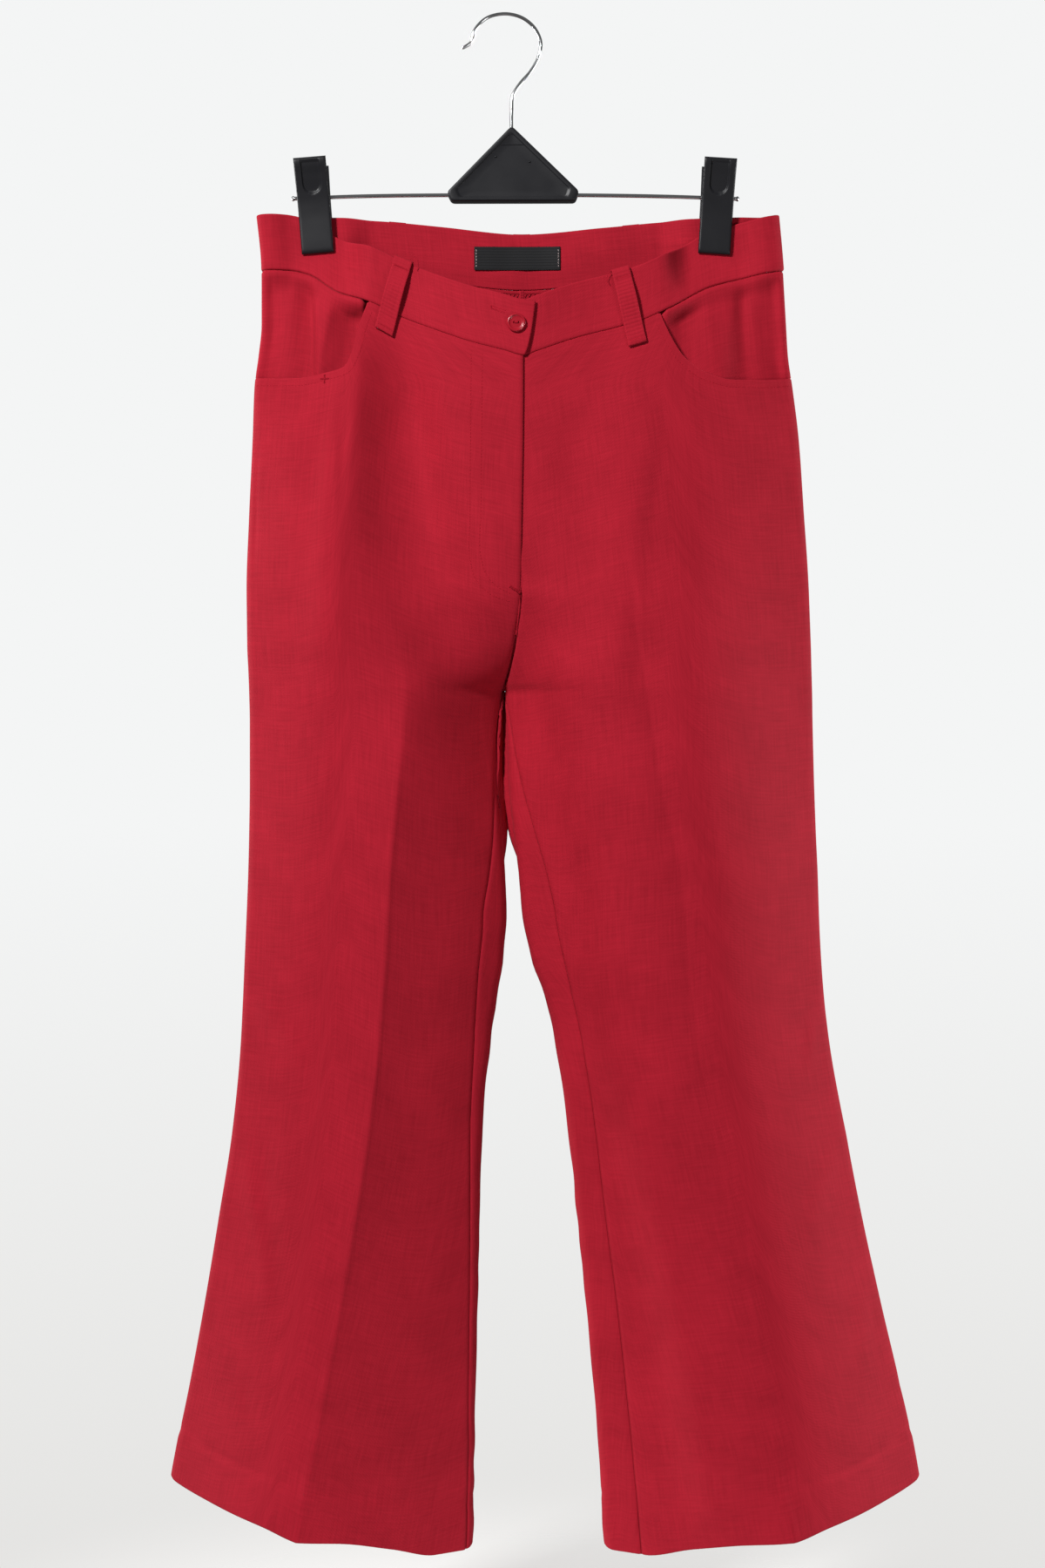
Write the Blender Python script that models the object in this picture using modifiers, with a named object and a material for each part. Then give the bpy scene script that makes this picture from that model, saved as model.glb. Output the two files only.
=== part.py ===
"""Flared dress trousers hanging from a clip hanger.

Every size is in millimetres until a mesh is made. The origin is the inner top of the hook's crown, where a rail
carries it. +Z is up, the front faces -Y, and the wearer's right is at -X.
"""

import math

import bmesh
import bpy
import numpy as np

MM = 0.001

# Cloth
CLOTH_WALL = 1.4
HEM_WALL = 2.4
HEM_DEPTH = 38.0
BAND_WALL = 2.4
BAND_PROUD = 0.5
BAND_HEIGHT = 44.0
BAND_ROWS = 5
FACING_WALL = 1.2
FACING_SINK = 2.8
FACING_UNDER = 18.0
FACING_LEVEL = -283.0
FACING_BOTTOM = -395.0
LOOP_WALL = 1.6
LOOP_WIDTH = 14.0
LOOP_TAIL = 19.0
LABEL_SIZE = (69.0, 18.5)
LABEL_WALL = 1.0
LABEL_X = 7.6
LABEL_TOP = -180.5
SEAM_GAP = 0.3
WAIST_GAP = 0.5
CLEFT_HALF_GAP = 0.25
SIDE_FOLD_RADIUS = 5.0
INNER_FOLD_RADIUS = 6.0
FOLD_RADIUS_SHARE = 0.8
CROTCH_HEIGHT = -536.0
HEM_STEP = 2.0
SHARP_ANGLE = math.radians(50)

# Turns of the creases and the side seam round a half: 0 is the inner fold at the front
FRONT_CREASE = 0.25
SIDE_SEAM = 0.5
BACK_CREASE = 0.75

# Steps over which a normal is measured, and heights from which the waist and pocket edges are looked for
TURN_STEP = 0.004
HEIGHT_STEP = 2.0
FRONT_START = -250.0
BACK_START = -210.0
FACING_START = -220.0
FACING_TURN_LEVEL = -260.0

# Where a facing comes up flush: fades in height and across at its side seam, then in from its inner end and down
FACING_SIDE_FADES = (9.0, 10.0)
FACING_END_OFFSET = 4.0
FACING_END_FADES = (12.0, 10.0)

# Fly and button
FLY_DROP = 2.7
FLY_DROP_END = -464.0
FLY_DROP_FADE = 16.0
BAND_TIP = (9.6, 0.6, -1.5)
UNDERLAP = (-22.0, 3.6, -1.0)
ZIP_TOP = -284.0
ZIP_LENGTH = 158.0
ZIP_WIDTH = 26.0
ZIP_X = 2.0
ZIP_WALL = 1.0
ZIP_DEPTH = 4.7
ZIP_SLIDER = ((-4, 0), (4, 0), (5, -8), (2.2, -12), (2.2, -28), (-2.2, -28), (-2.2, -12), (-5, -8))
ZIP_SLIDER_TOP = -292.0
ZIP_SLIDER_THICK = 2.2
ZIP_SLIDER_DEPTH = 3.0
ZIP_SLIDER_X = -2.5
ZIP_SLIDER_EDGE = 0.3
BUTTON_THICK = 2.6
BUTTON_PROFILE = ((0, 1.7), (4.6, 1.8), (5.5, 2.4), (6.6, 2.6), (7.2, 2.0), (7.4, 1.2), (6.9, 0.3), (6.0, 0), (0, 0))
BUTTON_STEPS = 24
BUTTON_HOLE_RADIUS = 0.8
BUTTON_HOLE_APART = 3.4
BUTTON_X = 6.9
BUTTON_HEIGHT = -251.0

# Hanger
WIRE_RADIUS = 1.3
ROD_RADIUS = 1.5
END_NUB_LENGTH = 2.2
HUB_THICK = 11.0
HUB_RECESS_SHARE = 0.86
HUB_RECESS_DEPTH = 0.8
STEM_BORE_LENGTH = 40.0
ROD_BORE_LENGTH = 140.0
ROD_NUB_SWELL = 1.5
JAW_WIDTH = 25.5
JAW_LENGTH = 73.5
JAW_EDGE = 0.9
SPRING_RADIUS = 3.4
SPRING_LENGTH = 19.0
ROUND_SEGMENTS = 20
BEVEL_ANGLE = math.radians(35)

# Heights of the sections that both panels of a leg share, from the hip to the last one above the hem
SHARED_HEIGHTS = (
    -300, -332, -366, -400, -430, -454, -476, -494, -508, -519, -528, -536, -544, -556, -580, -615, -655, -700,
    -745, -790, -850, -920, -990, -1045, -1100,
)

SECTION_COLUMNS = ("height", "side_x", "crease_x", "front_seam_x", "back_seam_x", "strip")
RIGHT_SECTIONS = (
    (-150, -199.5, -105, 12.4, 11.0, 0),
    (-203, -195.5, -105, 12.4, 11.0, 0),
    (-245, -195.5, -106, 12.4, 11.0, 0),
    (-270, -198.0, -107, 12.4, 11.0, 0),
    (-295, -201.3, -108, 12.4, 11.0, 0),
    (-335, -202.8, -109, 12.2, 10.5, 0),
    (-400, -206.0, -108, 11.2, 10.0, 0),
    (-455, -208.0, -98, 10.2, 9.0, 0),
    (-500, -207.6, -84, 5.5, 5.0, 0),
    (-520, -206.8, -80, 1.0, 1.0, 0),
    (-536, -206.2, -79, -3.2, -3.2, 0),
    (-560, -205.8, -80, -6.6, -6.6, 1),
    (-610, -205.8, -85, -8.3, -8.3, 2),
    (-645, -206.3, -88, -4.8, -4.8, 6),
    (-680, -207.2, -91, -2.0, -2.0, 12),
    (-715, -208.6, -93, -0.8, -0.8, 18),
    (-750, -210.2, -95, -3.8, -3.8, 18),
    (-785, -211.8, -98, -9.4, -9.4, 15),
    (-820, -213.8, -101, -14.2, -14.2, 12),
    (-885, -220.5, -109, -20.1, -20.1, 9),
    (-955, -232.0, -120, -22.3, -22.3, 7),
    (-1025, -244.2, -132, -23.8, -23.8, 6),
    (-1095, -257.8, -145, -25.7, -25.7, 5),
    (-1145, -268.5, -154, -26.6, -26.6, 4),
    (-1175, -274.0, -160, -27.3, -27.3, 4),
    (-1220, -279.0, -167, -28.4, -28.4, 4),
)
LEFT_SECTIONS = (
    (-150, 214.5, 88, 4.4, 11.0, 0),
    (-203, 218.5, 88, 4.4, 11.0, 0),
    (-245, 221.0, 89, 4.4, 11.0, 0),
    (-270, 222.6, 90, 4.4, 11.0, 0),
    (-295, 226.2, 90, 4.4, 11.0, 0),
    (-335, 231.2, 91, 4.4, 10.5, 0),
    (-400, 236.0, 91, 4.4, 10.0, 0),
    (-430, 238.2, 93, 4.6, 9.6, 0),
    (-454, 239.6, 95, 10.7, 9.1, 0),
    (-500, 241.4, 101, 5.5, 5.0, 0),
    (-520, 242.0, 104, 1.1, 1.1, 0),
    (-536, 242.4, 107, -2.9, -2.9, 0),
    (-560, 242.8, 111, -1.2, -1.2, 2),
    (-610, 243.8, 119, 0.7, 0.7, 10),
    (-645, 244.8, 126, 4.3, 4.3, 16),
    (-680, 246.0, 134, 8.4, 8.4, 22),
    (-715, 247.0, 137, 11.6, 11.6, 26),
    (-750, 248.8, 139, 19.4, 19.4, 25),
    (-785, 251.6, 143, 31.4, 31.4, 21),
    (-820, 256.0, 149, 38.4, 38.4, 21),
    (-885, 268.0, 164, 48.0, 48.0, 21),
    (-955, 282.2, 178, 55.2, 55.2, 22),
    (-1025, 298.4, 192, 62.2, 62.2, 24),
    (-1095, 316.0, 205, 68.8, 68.8, 25),
    (-1145, 328.0, 211, 72.6, 72.6, 26),
    (-1175, 333.5, 218, 74.6, 74.6, 26),
    (-1220, 339.0, 228, 77.2, 77.2, 26),
)

# Depths of both halves, positive towards the back. tuck turns a flat centre seam into a leg's inner fold,
# press turns a rounded front or back into a pressed crease.
DEPTH_COLUMNS = (
    "height", "side_y", "crease_y", "front_seam_y", "back_crease_y", "back_seam_y", "tuck", "press",
)
DEPTHS = (
    (-150, 0, -19, -33, 9, 13, 0, 0),
    (-203, 0, -20, -34, 12, 15, 0, 0),
    (-235, 0, -22, -35, 18, 20, 0, 0),
    (-270, 1, -27, -36, 28, 28, 0, 0),
    (-335, 2, -35, -38, 45, 42, 0, 0),
    (-400, 4, -41, -39, 60, 53, 0, 0),
    (-455, 5, -45, -35, 70, 59, 0.05, 0.05),
    (-480, 6, -47, -26, 74, 58, 0.24, 0.08),
    (-500, 6, -48, -14, 76, 56, 0.55, 0.1),
    (-520, 7, -49, 4, 78, 46, 0.88, 0.15),
    (-530, 7, -49.5, 15, 79, 35, 0.98, 0.18),
    (-536, 7, -50, 22, 79.5, 22, 1, 0.2),
    (-560, 8, -50, 21, 80, 21, 1, 0.25),
    (-610, 8, -50, 15, 78, 15, 1, 0.35),
    (-680, 9, -47, 10, 70, 10, 1, 0.55),
    (-750, 10, -44, 8, 62, 8, 1, 0.7),
    (-820, 12, -41, 8, 55, 8, 1, 0.8),
    (-885, 15, -40, 9, 53, 9, 1, 0.85),
    (-955, 20, -39, 11, 54, 11, 1, 0.9),
    (-1025, 26, -40, 13, 58, 13, 1, 0.9),
    (-1095, 33, -41, 15, 64, 15, 1, 0.9),
    (-1220, 43, -42, 18, 73, 18, 1, 0.9),
)

# Waist seam across the front and the back, and the two pocket edges: a row is x, height
FRONT_WAIST = (
    (-197, -203), (-173, -202.5), (-157, -206), (-134.6, -220.7), (-103, -233.4), (-83.5, -243.4), (-58, -254),
    (-29, -264.7), (-2.5, -272), (12.4, -276), (22, -272.5), (57, -260), (88, -251.3), (107, -245.2),
    (127, -235.5), (161.4, -216), (185, -209.5), (219, -202.5),
)
BACK_WAIST = (
    (-197, -203), (-110, -204.5), (-52, -209), (11, -214.5), (75, -210), (122, -206), (219, -202.5),
)
RIGHT_POCKET = (
    (-201, -288), (-163, -290.5), (-140, -287), (-127.5, -283), (-120.5, -268), (-116.5, -251), (-109.5, -231),
)
LEFT_POCKET = (
    (119.5, -240), (126.5, -256), (138.5, -275), (157.5, -287.5), (175.5, -291.5), (198, -291), (227, -288),
)

# Hem round a leg: a row is turn, height, and turn is 0 at the inner fold, 0.25 at the front crease, 0.5 at the side
HEM = ((0, -1214), (0.1, -1213), (0.25, -1196.5), (0.5, -1168), (0.75, -1197), (0.9, -1212), (1, -1214))

# Largest folds: a row is face, top x, top height, bottom x, bottom height, half width, depth.
# A trough has a positive depth and a ridge a negative one, and both fade over a share of their length at each end.
FOLD_FADES = (0.25, 0.35)
FOLD_EDGE_REACH = 12.0
FOLDS = (
    ("right_front", -97, -262, -58, -610, 19, 8.5),
    ("right_front", -121, -285, -112, -520, 11, -3),
    ("left_front", 52, -300, 60, -540, 24, 3),
    ("right_back", -112, -225, -64, -520, 20, 6),
    ("left_back", 128, -230, 74, -540, 22, 7),
    ("right_facing", -168, -198, -171, -330, 7, 3.5),
    ("right_facing", -131, -205, -133, -330, 9, 3.5),
    ("left_facing", 178, -196, 184, -330, 9, 2.5),
)

# Clips, by the centre line of their jaws: a row is side, lower x, upper x, upper height
CLIPS = (("right", -150.0, -156.0, -116.0), ("left", 163.2, 167.8, -116.5))
PINCH_LOW = -192.0
PINCH_FADE = 48.0
PINCH_HALF_WIDTH = 19.0
PINCH_SIDE_FADE = 25.0
PINCH_DEPTH = 2.1
PINCH_ROUNDING = 3.0

# Side profile of a front jaw: depth from the rod's plane, and rise from the lower end
JAW_PROFILE = (
    (3.1, 0), (3.1, 30), (3.75, 42), (3.9, 48), (13.0, 73.5), (15.4, 73.5), (16.2, 71), (9.4, 47), (7.6, 38),
    (6.6, 26), (6.2, 6), (4.8, 0),
)

HOOK_ROUTE = (
    (-36.6, -26.2), (-29.6, -21.8), (-26.4, -12.0), (-17.6, -2.6), (-2.0, 1.3), (11.4, -1.8), (21.6, -10.4),
    (26.2, -21.6), (24.2, -33.4), (18.0, -44.4), (9.4, -54.4), (4.2, -63.0), (3.1, -76.0), (3.1, -98.0),
)
HUB_OUTLINE = ((3.1, -88.5), (56.6, -140.2), (53.6, -148.0), (-44.6, -148.2), (-48.2, -141.0))
ROD_ROUTE = ((-170, -145.2), (-120, -143.4), (-40, -142.4), (50, -142.4), (130, -143.6), (182, -145.4))

# Columns of the panels, as shares of the way from the side seam to the crease and from the crease to the inseam
FRONT_OUTER = np.array([0, 0.1, 0.21, 0.32, 0.42, 0.52, 0.61, 0.69, 0.76, 0.83, 0.89, 0.94, 1])
FRONT_INNER = np.array([0.9, 0.77, 0.62, 0.46, 0.3, 0.15, 0])
BACK_OUTER = np.array([0, 0.1, 0.2, 0.31, 0.42, 0.5, 0.57, 0.64, 0.71, 0.79, 0.89, 1])
BACK_INNER = np.linspace(0, 1, 11)[1:]
FACING_ACROSS = np.array([0, 0.05, 0.1, 0.17, 0.25, 0.34, 0.45, 0.57, 0.69, 0.8, 0.9, 1])
FACING_DOWN = np.array([0, 0.08, 0.2, 0.45, 0.75, 1])
FACING_BELOW = np.array([0.15, 0.5, 1])
PANEL_SEAMS = ("first_row", "first_column", "last_column")

# Belt loops: a row is name, top x, bottom x, whether it is on the front
LOOPS = (
    ("front_right", -81.5, -97.0, True),
    ("front_left", 88.5, 101.5, True),
    ("back_right", -88.0, -90.0, False),
    ("back_centre", 11.0, 11.0, False),
    ("back_left", 98.0, 100.0, False),
)
# Way of a loop from behind the band's top edge, over it and down: a row is rise above the waist seam, stand-off
LOOP_PATH = (
    (37, -3.5), (43, -3.5), (45.4, -2.9), (46.2, -0.8), (45.4, 1.5), (43, 2.2), (36, 3.2), (24, 3.8),
    (12, 3.6), (4, 3.0), (-3, 2.4), (-19, 2.1),
)

# Finishes: name, then colour, roughness and metallic
FINISHES = {
    "red_suiting": ((0.42, 0.013, 0.03, 1), 0.8, 0),
    "zip_tape": ((0.3, 0.01, 0.02, 1), 0.8, 0),
    "woven_label": ((0.01, 0.01, 0.012, 1), 0.7, 0),
    "button_resin": ((0.5, 0.01, 0.03, 1), 0.2, 0),
    "chromed_wire": ((0.75, 0.76, 0.78, 1), 0.2, 1),
    "black_polypropylene": ((0.03, 0.031, 0.034, 1), 0.5, 0),
}


def monotone_curve(knots, values, at):
    """A cubic through the knots that never overshoots them, read at the given places."""
    order = np.argsort(knots)
    knots = np.asarray(knots, float)[order]
    values = np.asarray(values, float)[order]
    step = np.diff(knots)
    slope = np.diff(values) / step
    before, after = slope[:-1], slope[1:]
    near, far = 2 * step[1:] + step[:-1], step[1:] + 2 * step[:-1]
    product = before * after
    safe = np.where(product > 0, near * after + far * before, 1)
    tangent = np.concatenate(
        ([slope[0]], np.where(product > 0, (near + far) * product / safe, 0), [slope[-1]])
    )
    at = np.clip(at, knots[0], knots[-1])
    i = np.clip(np.searchsorted(knots, at, side="right") - 1, 0, len(step) - 1)
    t = (at - knots[i]) / step[i]
    return (
        values[i] * (1 + 2 * t) * (1 - t) ** 2
        + step[i] * tangent[i] * t * (1 - t) ** 2
        + values[i + 1] * t**2 * (3 - 2 * t)
        + step[i] * tangent[i + 1] * t**2 * (t - 1)
    )


def column(columns, rows, name, at):
    """One named column of a table, smoothly between its rows, whose first column is the place."""
    index = columns.index(name)
    return monotone_curve([row[0] for row in rows], [row[index] for row in rows], at)


def smoothstep(t):
    t = np.clip(t, 0, 1)
    return t * t * (3 - 2 * t)


def quarter_arc(t):
    """Height of a quarter circle of radius 1, t from its foot."""
    return np.sqrt(1 - (1 - np.clip(t, 0, 1)) ** 2)


def fold_depth(face, x, height):
    """How far the folds of one face move the cloth inwards."""
    total = np.zeros(np.broadcast(x, height).shape)
    for name, top_x, top, bottom_x, bottom, half_width, depth in FOLDS:
        if name != face:
            continue
        along = (top - height) / (top - bottom)
        middle = top_x + (bottom_x - top_x) * along
        fade = smoothstep(along / FOLD_FADES[0]) * smoothstep((1 - along) / FOLD_FADES[1])
        total = total + depth * fade * np.exp(-(((x - middle) / half_width) ** 2))
    return total


def pinch_share(x, height):
    """1 where a clip presses the two layers together, fading to 0 around it."""
    share = np.zeros(np.broadcast(x, height).shape)
    for _, lower_x, _, _ in CLIPS:
        aside = smoothstep(1 - (np.abs(x - lower_x) - PINCH_HALF_WIDTH) / PINCH_SIDE_FADE)
        below = smoothstep(1 - (PINCH_LOW - height) / PINCH_FADE)
        share = np.maximum(share, aside * below)
    return share


class Half:
    """One half of the trousers: from the centre front round the side to the centre back, and down one leg.

    turn runs round a section: 0 at the front's inner seam, 0.25 at the front crease, 0.5 at the side seam, 0.75 at
    the back crease and 1 at the back's inner seam. Below the crotch 1 is 0 again.
    """

    def __init__(self, side):
        self.side = side
        self.sections = RIGHT_SECTIONS if side == "right" else LEFT_SECTIONS
        self.out = -1 if side == "right" else 1

    def section(self, name, height):
        return column(SECTION_COLUMNS, self.sections, name, height)

    def depth(self, name, height):
        return column(DEPTH_COLUMNS, DEPTHS, name, height)

    def fly_drop(self, height):
        """How far the left front lies behind the right one, under the fly."""
        if self.side == "right":
            return 0.0
        return FLY_DROP * smoothstep((height - FLY_DROP_END) / FLY_DROP_FADE)

    def points(self, turn, height):
        """Points of the outer face of the cloth, as an array of (x, y, z)."""
        turn, height = np.broadcast_arrays(np.asarray(turn, float), np.asarray(height, float))
        in_leg = height <= CROTCH_HEIGHT
        turn = np.where(in_leg, turn % 1.0, np.clip(turn, 0, 1))
        front = turn < SIDE_SEAM
        from_inner = np.where(front, turn, 1 - turn) / FRONT_CREASE
        outer = from_inner > 1
        travel = np.where(outer, 2 - from_inner, from_inner)
        share = 1 - np.cos(np.pi / 2 * travel)
        front_x = self.section("front_seam_x", height)
        back_x = self.section("back_seam_x", height)
        front_y = self.depth("front_seam_y", height) + self.fly_drop(height)
        back_y = self.depth("back_seam_y", height)
        inner_x = np.where(in_leg, (front_x + back_x) / 2, np.where(front, front_x, back_x))
        inner_y = np.where(in_leg, (front_y + back_y) / 2, np.where(front, front_y, back_y))
        edge_x = np.where(outer, self.section("side_x", height), inner_x)
        edge_y = np.where(outer, self.depth("side_y", height), inner_y)
        crease_x = self.section("crease_x", height)
        crease_y = np.where(front, self.depth("crease_y", height), self.depth("back_crease_y", height))
        away = np.where(front, -1.0, 1.0)
        press = self.depth("press", height)
        tuck = np.where(outer, 1.0, self.depth("tuck", height))
        edge_x = edge_x + np.where(outer, 0, self.out * CLEFT_HALF_GAP * tuck)
        reach = np.abs(crease_x - edge_x)
        bulge = (crease_y - edge_y) * away
        radius = np.where(outer, SIDE_FOLD_RADIUS, INNER_FOLD_RADIUS) * np.maximum(tuck, 1e-3)
        radius = np.minimum(radius, np.maximum(bulge * FOLD_RADIUS_SHARE, 1e-3))
        round_part = radius * quarter_arc(reach * share / radius)
        swell = (1 - press) * np.sin(np.pi / 2 * share) + press * share
        folded = round_part + (bulge - radius) * swell
        flat = bulge * smoothstep(share)
        x = edge_x + (crease_x - edge_x) * share
        y = edge_y + away * (tuck * folded + (1 - tuck) * flat)
        fold = np.where(
            front, fold_depth(self.side + "_front", x, height), fold_depth(self.side + "_back", x, height)
        )
        y = y - away * fold * np.minimum(1, np.abs(y - edge_y) / FOLD_EDGE_REACH + (1 - outer))
        pinch = pinch_share(x, height)
        y = y * (1 - pinch) + away * PINCH_DEPTH * np.minimum(1, np.abs(y) / PINCH_ROUNDING) * pinch
        return np.stack([x, y, height], axis=-1)

    def normals(self, turn, height):
        """Outward unit normals of the cloth."""
        turn, height = np.broadcast_arrays(np.asarray(turn, float), np.asarray(height, float))
        across = self.points(turn + TURN_STEP, height) - self.points(turn - TURN_STEP, height)
        up = self.points(turn, height + HEIGHT_STEP) - self.points(turn, height - HEIGHT_STEP)
        normal = np.cross(up, across) * -self.out
        return normal / np.linalg.norm(normal, axis=-1, keepdims=True)

    def inseam_turn(self, height):
        """Turn of the inseam, which lies on the front by the width of the strip."""
        reach = np.abs(self.section("crease_x", height) - self.section("front_seam_x", height))
        share = self.section("strip", height) / reach
        return FRONT_CREASE * 2 / np.pi * np.arccos(1 - share)

    def turn_at(self, x, height, front=True):
        """Turn of the point at this x on the front or on the back."""
        crease_x = self.section("crease_x", height)
        side_x = self.section("side_x", height)
        inner_x = self.section("front_seam_x" if front else "back_seam_x", height)
        outer = (x - crease_x) * self.out > 0
        edge_x = np.where(outer, side_x, inner_x)
        share = np.clip((x - edge_x) / (crease_x - edge_x), 0, 1)
        travel = 2 / np.pi * np.arccos(1 - share)
        from_inner = np.where(outer, 2 - travel, travel) * FRONT_CREASE
        return from_inner if front else 1 - from_inner


HALVES = {side: Half(side) for side in ("right", "left")}


def collection_for(name):
    found = bpy.data.collections.new(name)
    bpy.context.scene.collection.children.link(found)
    return found


def clear_scene():
    for item in list(bpy.data.objects):
        bpy.data.objects.remove(item, do_unlink=True)


def material(name):
    colour, roughness, metallic = FINISHES[name]
    made = bpy.data.materials.new(name)
    made.use_nodes = True
    shader = made.node_tree.nodes["Principled BSDF"]
    shader.inputs["Base Color"].default_value = colour
    shader.inputs["Roughness"].default_value = roughness
    shader.inputs["Metallic"].default_value = metallic
    return made


def add_object(name, mesh, surface):
    made = bpy.data.objects.new(name, mesh)
    made.data.materials.append(surface)
    PARTS.objects.link(made)
    return made


def wall_faces(rows, columns, flip):
    """Faces of a closed wall: the outer grid, the inner grid and the rim that joins them."""
    index = np.arange(rows * columns).reshape(rows, columns)
    inner = index + rows * columns
    a, b, c, d = index[:-1, :-1], index[:-1, 1:], index[1:, 1:], index[1:, :-1]
    outer_faces = np.stack([a, d, c, b], axis=-1).reshape(-1, 4)
    inner_faces = np.stack([a, b, c, d], axis=-1).reshape(-1, 4) + rows * columns
    loop = np.concatenate([index[0, :], index[1:, -1], index[-1, -2::-1], index[-2:0:-1, 0]])
    inner_loop = np.concatenate([inner[0, :], inner[1:, -1], inner[-1, -2::-1], inner[-2:0:-1, 0]])
    rim = np.stack([loop, np.roll(loop, -1), np.roll(inner_loop, -1), inner_loop], axis=-1)
    faces = np.concatenate([outer_faces, inner_faces, rim])
    return faces[:, ::-1] if flip else faces


def wall_object(name, outer, inner, surface, flip):
    """A closed wall between two grids of points, smooth on its faces and sharp at its rim."""
    rows, columns, _ = outer.shape
    mesh = bpy.data.meshes.new(name)
    points = np.concatenate([outer.reshape(-1, 3), inner.reshape(-1, 3)]) * MM
    mesh.from_pydata(points.tolist(), [], wall_faces(rows, columns, flip).tolist())
    mesh.validate()
    mesh.shade_smooth()
    mesh.set_sharp_from_angle(angle=SHARP_ANGLE)
    return add_object(name, mesh, surface)


def draw_in(grid, edges, distance):
    """Moves the named edges of a grid inwards along the cloth."""
    grid = grid.copy()
    ends = {"first_row": (0, 1, 0), "last_row": (-1, -2, 0), "first_column": (0, 1, 1), "last_column": (-1, -2, 1)}
    for edge in edges:
        here, there, axis = ends[edge]
        view = grid if axis == 0 else grid.transpose(1, 0, 2)
        along = view[there] - view[here]
        view[here] += distance * along / np.linalg.norm(along, axis=-1, keepdims=True)
    return grid


def cloth_piece(name, half, turn, height, wall, surface, proud=0.0, edges=()):
    """A wall of cloth on a half's surface: turn and height are grids, rows from top to bottom."""
    points = half.points(turn, height)
    normals = half.normals(turn, height)
    outer = points + normals * proud
    inner = points + normals * (proud - np.broadcast_to(wall, turn.shape)[..., None])
    half_gap = SEAM_GAP / 2
    outer, inner = draw_in(outer, edges, half_gap), draw_in(inner, edges, half_gap)
    return wall_object(name, outer, inner, surface, flip=grid_flip(half, turn))


def grid_flip(half, turn):
    """Whether a grid whose turn falls or rises along its rows needs its faces turned round."""
    rising = turn[0, -1] > turn[0, 0]
    return rising == (half.out < 0)


def waist_height(x, front):
    rows = FRONT_WAIST if front else BACK_WAIST
    return monotone_curve([row[0] for row in rows], [row[1] for row in rows], x)


def edge_height(half, turn, start, rule):
    """Height at which each column meets a line across the cloth, by a few rounds of reading its x."""
    height = np.full(turn.shape, float(start))
    for _ in range(6):
        height = rule(half.points(turn, height)[..., 0])
    return height


def front_top(half, x):
    """Upper edge of a front: the pocket edge beside the side seam, then the waist seam."""
    rows = RIGHT_POCKET if half.side == "right" else LEFT_POCKET
    pocket = monotone_curve([row[0] for row in rows], [row[1] for row in rows], x)
    inner_end = rows[-1][0] if half.side == "right" else rows[0][0]
    inside = (x - inner_end) * half.out < 0
    return np.where(inside, waist_height(x, True), pocket)


def leg_grid(half, turn_columns, top):
    """Grids of turn and height for a panel: its upper rows, the shared sections, then the hem rows."""
    shared = np.array(SHARED_HEIGHTS, float)
    first, last = shared[0], shared[-1]
    upper = np.linspace(0, 1, 6)[:-1, None]
    top_turn = turn_columns(np.full(1, first))[0]
    top_heights = top(top_turn)[None, :] * (1 - upper) + first * upper
    middle = np.broadcast_to(shared[:, None], (len(shared), len(top_turn)))
    low_turn = turn_columns(np.full(1, last))[0]
    hem = monotone_curve([row[0] for row in HEM], [row[1] for row in HEM], low_turn % 1.0)
    fold = hem + HEM_DEPTH
    low_heights = np.stack([(last + fold) / 2, fold, fold - HEM_STEP, hem])
    heights = np.concatenate([top_heights, middle, low_heights])
    turns = np.concatenate([turn_columns(row.mean(keepdims=True)) for row in heights])
    return turns, heights


def hem_wall(heights):
    """Wall of a leg panel: plain, and doubled where the hem is turned up inside."""
    wall = np.full(heights.shape, CLOTH_WALL)
    wall[-2:] = HEM_WALL
    return wall


def front_columns(half, height):
    """Turns of a front's columns at each height, from the side seam to the inseam."""
    seam = half.inseam_turn(height)[:, None]
    outer = SIDE_SEAM + (FRONT_CREASE - SIDE_SEAM) * FRONT_OUTER + 0 * seam
    return np.concatenate([outer, seam + (FRONT_CREASE - seam) * FRONT_INNER], axis=1)


def back_columns(half, height):
    """Turns of a back's columns at each height, from the side seam round to the inseam."""
    seam = half.inseam_turn(height)[:, None]
    end = 1 + np.where(height[:, None] <= CROTCH_HEIGHT, seam, 0)
    outer = SIDE_SEAM + (BACK_CREASE - SIDE_SEAM) * BACK_OUTER + 0 * seam
    return np.concatenate([outer, BACK_CREASE + (end - BACK_CREASE) * BACK_INNER], axis=1)


def make_fronts(cloth):
    for side, half in HALVES.items():

        def top(turn, half=half):
            return edge_height(half, turn, FRONT_START, lambda x: front_top(half, x))

        turns, heights = leg_grid(half, lambda height, half=half: front_columns(half, height), top)
        cloth_piece(f"front_{side}", half, turns, heights, hem_wall(heights), cloth, edges=PANEL_SEAMS)


def make_backs(cloth):
    for side, half in HALVES.items():

        def top(turn, half=half):
            return edge_height(half, turn, BACK_START, lambda x: waist_height(x, False))

        turns, heights = leg_grid(half, lambda height, half=half: back_columns(half, height), top)
        cloth_piece(f"back_{side}", half, turns, heights, hem_wall(heights), cloth, edges=PANEL_SEAMS)


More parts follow.
